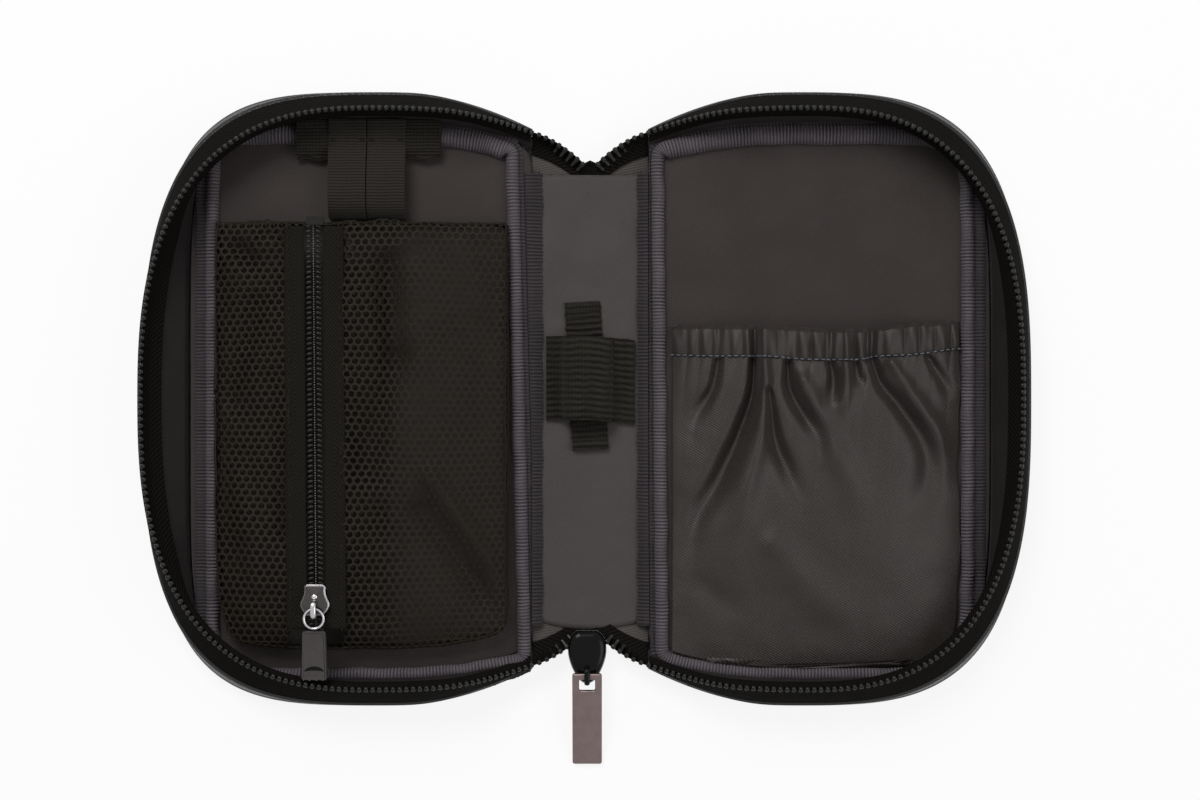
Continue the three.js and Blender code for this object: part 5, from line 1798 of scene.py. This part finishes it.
def slotted_plate(name, outer, hole, low, high, bevel):
    """A plate with a hole: one section goes round between the outline and the hole, ray by ray."""
    centre = hole.mean(axis=0)
    hole = along_rays(hole, centre, np.arctan2(*(outer - centre).T[::-1]))
    levels = [(bevel, low), (0.0, low + bevel), (0.0, high - bevel), (bevel, high)]
    rings = [lift(inset_outline(outer, inset), height) for inset, height in levels]
    rings += [lift(inset_outline(hole, -inset), height) for inset, height in levels[::-1]]
    return skin(name, np.stack(rings, axis=1), looped=True, smooth_angle=15)


def tube(name, path, radius, looped=False, flat=1.0):
    """A round wire along a path in the plane of its own first and last points."""
    path = np.asarray(path, float)
    steps = np.roll(path, -1, axis=0) - np.roll(path, 1, axis=0) if looped else np.gradient(path, axis=0)
    across = np.linalg.svd(path - path.mean(axis=0), full_matrices=False)[2][-1]
    out = np.cross(unit(steps), across)
    rings = [
        path + radius * (math.cos(turn) * across * flat + math.sin(turn) * out)
        for turn in full_turn(TUBE_SIDES)
    ]
    return skin(name, np.stack(rings, axis=1), looped=looped, smooth_angle=60)


def tilt(piece, pivot, degrees):
    """Turns a piece's points about a line along X through the pivot."""
    angle = math.radians(degrees)
    for vertex in piece.data.vertices:
        y, z = vertex.co.y - pivot[0], vertex.co.z - pivot[1]
        vertex.co.y = pivot[0] + y * math.cos(angle) - z * math.sin(angle)
        vertex.co.z = pivot[1] + y * math.sin(angle) + z * math.cos(angle)
    return piece


# %% [markdown]
# The pouch slider is a small plated casting, waisted behind its nose and widest where it spreads the
# coils. A bail bridges it and carries a round ring and a tab with a raised rim and a crescent dent.

# %% Pouch slider and its pull
SLIDER_HALF = ((0.00225, 0.0), (0.00275, 0.0005), (0.00262, 0.0016), (0.00285, 0.0028), (0.0037, 0.0047),
               (0.0037, 0.0056), (0.0031, 0.0068), (0.0020, 0.0079))
SLIDER_BEVEL = 0.00035
RING_RADIUS = 0.00255
RING_WIRE = 0.00036
PULL_TILT = 5.0
pouch_slider_low, pouch_slider_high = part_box("pouch_slider")
pouch_slider_x = (pouch_slider_low.x + pouch_slider_high.x) / 2


def mirrored(half, x, top_y):
    """A closed outline from one side's half widths and distances below the top."""
    right = [(x + width, top_y - below) for width, below in half]
    left = [(x - width, top_y - below) for width, below in reversed(half)]
    return right[::-1] + left[::-1]


def make_pouch_slider():
    low, high = pouch_slider_low, pouch_slider_high
    outline = rounded_outline(mirrored(SLIDER_HALF, pouch_slider_x, high.y), 0.00035)
    bevel = SLIDER_BEVEL
    top = high.z
    levels = [(bevel, low.z), (0.0, low.z + bevel), (0.0, low.z + 0.0005), (0.0004, low.z + 0.0007),
              (0.0004, top - 0.0009), (0.0, top - 0.0007), (0.0, top - bevel), (bevel * 0.7, top - 0.0001)]
    body = plate("pouch_slider_body", outline, levels)
    dress(body, silver_rim, "dark_nickel", "pouch_slider", body="pouch_slider")
    face_levels = [(bevel * 0.6, top - 0.0005), (bevel * 0.8, top - 0.00005), (bevel * 1.3, top)]
    face = plate("pouch_slider_face", outline, face_levels)
    dress(face, dark_nickel, "dark_nickel", "pouch_slider", body="pouch_slider")

    low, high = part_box("pouch_slider_bail")
    x, seat = (low.x + high.x) / 2, top - 0.0002
    arch = [(x, high.y + 0.0001, seat), (x, high.y - 0.0001, high.z - 0.0011),
            (x, high.y - 0.0010, high.z - 0.0004), (x, low.y + 0.0012, high.z - 0.0004),
            (x, low.y + 0.0003, high.z - 0.0012), (x, low.y + 0.0004, seat)]
    bail = tube("pouch_slider_bridge", smooth_curve(arch, 30), BAIL_RADIUS, flat=1.9)
    dress(bail, silver_rim, "dark_nickel", "pouch_slider_bail", body="pouch_slider")
    turns = full_turn(20)
    dot = np.column_stack([x + 0.0007 * np.cos(turns), high.y + 0.0012 + 0.0006 * np.sin(turns)])
    rivet = plate("pouch_slider_rivet", dot, [(0.0, top - 0.0004), (0.0, top), (0.0003, top + 0.0002)])
    dress(rivet, silver_rim, "dark_nickel", body="pouch_slider")


def make_pouch_pull():
    low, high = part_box("pouch_pull_ring")
    x, y, z = (low.x + high.x) / 2, (low.y + high.y) / 2, (low.z + high.z) / 2
    turns = full_turn(56)
    circle = lift(np.column_stack([x + RING_RADIUS * np.cos(turns), y + RING_RADIUS * np.sin(turns)]), z)
    ring = tilt(tube("pouch_pull_loop", circle, RING_WIRE, looped=True), (y, z), PULL_TILT)
    dress(ring, silver_rim, "dark_nickel", "pouch_pull_ring", body="pouch_pull")

    low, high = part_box("pouch_pull_tab")
    x, top_y, end_y, top = (low.x + high.x) / 2, high.y, low.y, high.z
    half = (high.x - low.x) / 2
    corners = [(x + half * 0.9, top_y), (x - half * 0.9, top_y), (x - half, end_y), (x + half, end_y)]
    outline = even_outline(rounded_outline(corners, 0.0009), 72)
    base = low.z + (top_y - end_y) * math.tan(math.radians(PULL_TILT))
    levels = [(0.0003, base), (0.0, base + 0.0003), (0.0, top - 0.0003), (0.00025, top), (0.0006, top),
              (0.0008, top - 0.0002)]
    tab = tilt(plate("pouch_pull_plate", outline, levels), (top_y, top), PULL_TILT)
    dress(tab, dark_nickel, "dark_nickel", "pouch_pull_tab", body="pouch_pull")
    turns = np.linspace(math.pi * 0.06, math.pi * 0.94, 22)
    arc = np.column_stack([x + 0.0026 * np.cos(turns), end_y + 0.0022 + 0.0016 * np.sin(turns)])
    back = turns[-2:0:-1]
    flat = np.column_stack([x + 0.0026 * np.cos(back), end_y + 0.0022 + 0.0004 * np.sin(back)])
    shape = inset_outline(np.vstack([arc, flat]), 0.00005)
    mark = plate("pouch_pull_crescent", shape, [(0.0, top - 0.0004), (0.0, top - 0.00015)])
    dress(tilt(mark, (top_y, top), PULL_TILT), black_enamel, "dark_nickel", body="pouch_pull")


make_pouch_slider()
make_pouch_pull()

# %% [markdown]
# The main slider is black enamel over a silver body that shows along its lower edge. It's a teardrop with
# its flat nose in the notch. Its long gunmetal tab has one slot for the bail and a bevel all round.

# %% Main slider and its pull tab
TEARDROP_HALF = ((0.0026, 0.0), (0.0040, 0.0010), (0.0048, 0.0028), (0.0051, 0.0048), (0.0049, 0.0070),
                 (0.0042, 0.0094), (0.0030, 0.0118), (0.0016, 0.0135), (0.0004, 0.0141))
SILVER_SHARE = 0.45
CAP_DOME = ((0.93, -0.2), (0.982, 0.0), (0.982, 0.3), (0.95, 0.56), (0.88, 0.76), (0.76, 0.89), (0.6, 0.96),
            (0.4, 0.99), (0.2, 1.0), (0.03, 1.0))
CAP_LIFT_Y = 0.00012
TAB_CORNER = 0.0007
SLOT_HALF = (0.0021, 0.0016)
SLOT_BELOW = 0.0016
TAB_THICKNESS = 0.0011
main_low, main_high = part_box("main_slider")
main_x = (main_low.x + main_high.x) / 2


def make_main_slider():
    half = smooth_curve(TEARDROP_HALF, 26).tolist()
    outline = even_outline(np.array(mirrored(half, main_x, main_high.y)), 90)
    split = main_low.z + (main_high.z - main_low.z) * SILVER_SHARE
    low_levels = [(0.0006, main_low.z), (0.0001, main_low.z + 0.0005), (0.0, split - 0.0003), (0.0003, split)]
    rim = plate("main_slider_base", outline, low_levels)
    dress(rim, silver_rim, "dark_nickel", "main_slider", body="spine")
    centre = outline.mean(axis=0)
    rings = [
        lift(centre + share * (outline - centre) + (0, CAP_LIFT_Y), split + height * (main_high.z - split))
        for share, height in CAP_DOME
    ]
    cap = skin("main_slider_cap", np.stack(rings), smooth_angle=80)
    dress(cap, black_enamel, "black_enamel", "main_slider", body="spine")

    low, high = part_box("main_slider_bail")
    x = (low.x + high.x) / 2
    arch = [(x, high.y, main_high.z - 0.0002), (x, high.y, high.z - 0.0011),
            (x, high.y - 0.0010, high.z - 0.0004), (x, low.y + 0.0012, high.z - 0.0004),
            (x, low.y + 0.0003, high.z - 0.0012), (x, low.y + 0.0004, low.z + 0.0006)]
    bail = tube("main_slider_bridge", smooth_curve(arch, 34), BAIL_RADIUS, flat=1.8)
    dress(bail, black_enamel, "black_enamel", "main_slider_bail", body="spine")


def make_main_tab():
    low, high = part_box("main_pull_tab")
    x, half, thick = (low.x + high.x) / 2, (high.x - low.x) / 2, TAB_THICKNESS
    length = math.hypot(high.y - low.y, high.z - low.z - thick)
    corners = [(x + half, 0.0), (x - half, 0.0), (x - half, -length), (x + half, -length)]
    outer = even_outline(rounded_outline(corners, TAB_CORNER), 240)
    slot_x, slot_y = SLOT_HALF
    slot_end = -SLOT_BELOW - 2 * slot_y
    slot = [(x + slot_x, -SLOT_BELOW), (x - slot_x, -SLOT_BELOW), (x - slot_x, slot_end),
            (x + slot_x, slot_end)]
    hole = even_outline(rounded_outline(slot, 0.0005), 400)
    tab = slotted_plate("main_pull_plate", outer, hole, -thick / 2, thick / 2, 0.0002)
    slope = math.asin((high.z - low.z - thick) / length)
    tilt(tab, (0.0, 0.0), math.degrees(slope))
    tab.data.transform(Matrix.Translation((0.0, high.y, high.z - thick / 2)))
    dress(tab, gunmetal, "gunmetal_plate", "main_pull_tab", body="main_pull")


make_main_slider()
make_main_tab()

# %% [markdown]
# The slip pocket is satin cloth, gathered under an elastic hem. Its puffs are a few millimetres wide and
# uneven. Below the seam the gathers open into folds that fan out and die away over the pocket's belly.

# %% Gathered slip pocket
POCKET_NEAR_X = 0.0216
POCKET_TUCK = 0.0019
WALL_GAP = 0.0022
POCKET_EDGE_Z = 0.0052
POCKET_CROWN = 0.0066
HEM_TOP_LINE = ((0.0196, 0.0193), (0.0313, 0.0193), (0.0460, 0.0191), (0.0587, 0.0185), (0.0702, 0.0183),
                (0.0786, 0.0191), (0.0851, 0.0199), (0.0935, 0.0204), (0.0995, 0.0205))
HEM_SEAM_LINE = ((0.0201, 0.0115), (0.0313, 0.0111), (0.0460, 0.0110), (0.0569, 0.0102), (0.0702, 0.0102),
                 (0.0752, 0.0110), (0.0851, 0.0115), (0.0953, 0.0129), (0.0995, 0.0131))
GATHER_PITCH = 0.0041
GATHER_DEPTH = 0.0006
HEM_PUFF = 0.0011
POCKET_THICKNESS = 0.0006
POCKET_FOLDS = (
    (-0.0016, 0.0011, 0.0024, ((0.0338, 0.0103), (0.0324, 0.0030), (0.0288, -0.0030), (0.0262, -0.0090))),
    (-0.0026, 0.0012, 0.0042, ((0.0432, 0.0103), (0.0427, 0.0016), (0.0395, -0.0085), (0.0337, -0.0215),
                               (0.0266, -0.0345), (0.0240, -0.0480))),
    (0.0017, 0.0015, 0.0040, ((0.0455, 0.0100), (0.0458, -0.0010), (0.0440, -0.0120), (0.0405, -0.0250),
                              (0.0370, -0.0400))),
    (-0.0019, 0.0010, 0.0032, ((0.0468, 0.0020), (0.0485, -0.0100), (0.0525, -0.0205), (0.0560, -0.0300))),
    (-0.0022, 0.0011, 0.0034, ((0.0519, 0.0095), (0.0524, 0.0030), (0.0553, -0.0026), (0.0603, -0.0100),
                               (0.0590, -0.0175))),
    (0.0013, 0.0020, 0.0048, ((0.0560, 0.0050), (0.0600, -0.0050), (0.0665, -0.0180), (0.0720, -0.0330))),
    (-0.0016, 0.0010, 0.0026, ((0.0632, 0.0095), (0.0638, 0.0045), (0.0628, -0.0026))),
    (0.0012, 0.0012, 0.0026, ((0.0668, 0.0095), (0.0672, 0.0030), (0.0655, -0.0060))),
    (-0.0013, 0.0009, 0.0022, ((0.0699, 0.0090), (0.0706, 0.0024))),
    (-0.0021, 0.0012, 0.0046, ((0.0741, 0.0105), (0.0765, 0.0040), (0.0830, -0.0040), (0.0892, -0.0140),
                               (0.0885, -0.0245), (0.0830, -0.0340))),
    (0.0014, 0.0014, 0.0040, ((0.0790, 0.0095), (0.0850, 0.0000), (0.0915, -0.0110), (0.0930, -0.0260))),
    (-0.0013, 0.0010, 0.0022, ((0.0890, 0.0110), (0.0930, 0.0050), (0.0962, -0.0010))),
    (0.0008, 0.0040, 0.0070, ((0.0480, -0.0380), (0.0600, -0.0520), (0.0760, -0.0600))),
    (-0.0008, 0.0030, 0.0050, ((0.0300, -0.0500), (0.0420, -0.0600))),
)
CREASE_SAMPLES = 26
CREASE_FADE = 0.85
FOLD_STRENGTH = 1.6
GATHER_REACH_Y = 0.009
GATHER_SHIFT = 0.0016
POCKET_SLACK = (0.012, 0.008)
POCKET_GRID = (170, 270)
HEM_TURN = (0.0012, 0.0030)
right_body = "right_shell"
right_seam, right_floor = (trays["right"].lines[name] for name in ("seam", "floor"))


def line_at(line, x):
    points = smooth_curve(line, 200)
    return np.interp(x, points[:, 0], points[:, 1])


def gather_phase(x):
    """Counts the hem's puffs. They aren't equally wide, so the count wanders a little."""
    return x / GATHER_PITCH + 0.22 * np.sin(x * 190) + 0.12 * np.sin(x * 430 + 1)


def gathers(x):
    """1 on top of a puff and 0 in the tuck beside it."""
    return np.abs(np.sin(math.pi * gather_phase(x))) ** 0.7


def crease(x, y, depth, start_width, end_width, points):
    """A curved fold that widens and fades along its way, a valley when its depth is negative."""
    curve = smooth_curve(points, CREASE_SAMPLES)
    nearest = np.full(np.shape(x), np.inf)
    amount = np.zeros(np.shape(x))
    for k, (start, end) in enumerate(zip(curve, curve[1:])):
        share, away = beside_line(x, y, start, end)
        along = (k + share) / (CREASE_SAMPLES - 1)
        width = start_width + (end_width - start_width) * along
        strength = np.exp(-((away / width) ** 2)) * (1 - smooth_step((along - 0.5) / 0.5) * CREASE_FADE)
        amount = np.where(away < nearest, strength, amount)
        nearest = np.minimum(nearest, away)
    return depth * amount


def pocket_reach(y):
    bulge = 0.0004 * np.sin(y * 160 + 1.0) + 0.0002 * np.sin(y * 420)
    return np.minimum(right_seam.reach_at(y), right_floor.reach_at(y) - WALL_GAP) - 0.0006 + bulge


def pocket_low(x):
    return -np.minimum(right_seam.height_at(x) + POCKET_TUCK, right_floor.height_at(x) - WALL_GAP)


def pocket_height(x, y):
    seam = line_at(HEM_SEAM_LINE, x)
    across = np.clip((x - POCKET_NEAR_X) / (pocket_reach(y) - POCKET_NEAR_X), 0, 1) * 2 - 1
    along = np.clip((y - pocket_low(x)) / (seam - pocket_low(x)), 0, 1)
    crown = (1 - np.abs(across) ** 4) * (1 - (1 - along) ** 3.0)
    fade = np.exp(-np.clip(seam - y, 0, 1) / GATHER_REACH_Y)
    ripples = GATHER_DEPTH * (gathers(x + GATHER_SHIFT * (1 - fade)) - 0.6) * fade
    slow = 0.0005 * np.sin(x * 95 + y * 60) * np.sin(y * 110 - x * 40)
    folds = FOLD_STRENGTH * sum(crease(x, y, *fold) for fold in POCKET_FOLDS) + slow
    return (POCKET_EDGE_Z + POCKET_CROWN * crown + ripples * smooth_step(crown * 3)
            + folds * smooth_step(crown * 2))


def make_pocket_front():
    across = np.linspace(0, 1, POCKET_GRID[1])
    rows = []
    for share in np.linspace(0, 1, POCKET_GRID[0]):
        y = 0.0
        for _ in range(4):
            x = POCKET_NEAR_X + across * (pocket_reach(y) - POCKET_NEAR_X)
            y = pocket_low(x) + share * (line_at(HEM_SEAM_LINE, x) - pocket_low(x))
        rows.append(np.column_stack([x, y, pocket_height(x, y)]))
    front = map_flat(panel("pocket_belly", np.stack(rows), POCKET_THICKNESS, smooth_angle=180))
    dress(front, pocket_cloth, "pocket_cloth", "pocket_front", body=right_body)
    wide = pocket_reach(0.0) - POCKET_NEAR_X + POCKET_SLACK[0]
    cut = (wide, 0.0111 - pocket_low(CREST_X) + POCKET_SLACK[1])


def make_pocket_hem():
    x = np.linspace(POCKET_NEAR_X, pocket_reach(0.0155), 520)
    seam, top = line_at(HEM_SEAM_LINE, x), line_at(HEM_TOP_LINE, x)
    puff, base = gathers(x), pocket_height(x, seam)
    rows = []
    for share in np.linspace(0, 1, 30):
        rise = math.sin(math.pi * share**0.8) ** 0.6
        z = base + HEM_PUFF * rise * (0.35 + 0.65 * puff) + 0.0002 * np.sin(x * 1700 + share * 3)
        z = z - 0.0014 * smooth_step((share - 0.86) / 0.14)
        y = seam + share * (top - seam) + 0.0003 * (puff - 0.5) * share
        rows.append(np.column_stack([x, y, z]))
    edge = rows[-1]
    for drop in HEM_TURN:
        low_edge = np.maximum(edge[:, 2] - drop, POCKET_EDGE_Z)
        rows.append(np.column_stack([x, edge[:, 1] - 0.0004, low_edge]))
    hem = panel("pocket_gathered_hem", np.stack(rows), POCKET_THICKNESS, smooth_angle=180)
    dress(hem, pocket_cloth, "pocket_cloth", "pocket_hem", body=right_body)
    line = np.column_stack([x, seam + 0.0002, base + POCKET_THICKNESS])
    sew("pocket_hem_stitches", line, blue_grey_thread, "pocket_cloth", right_body, 0.0019, 0.75)


make_pocket_front()
make_pocket_hem()
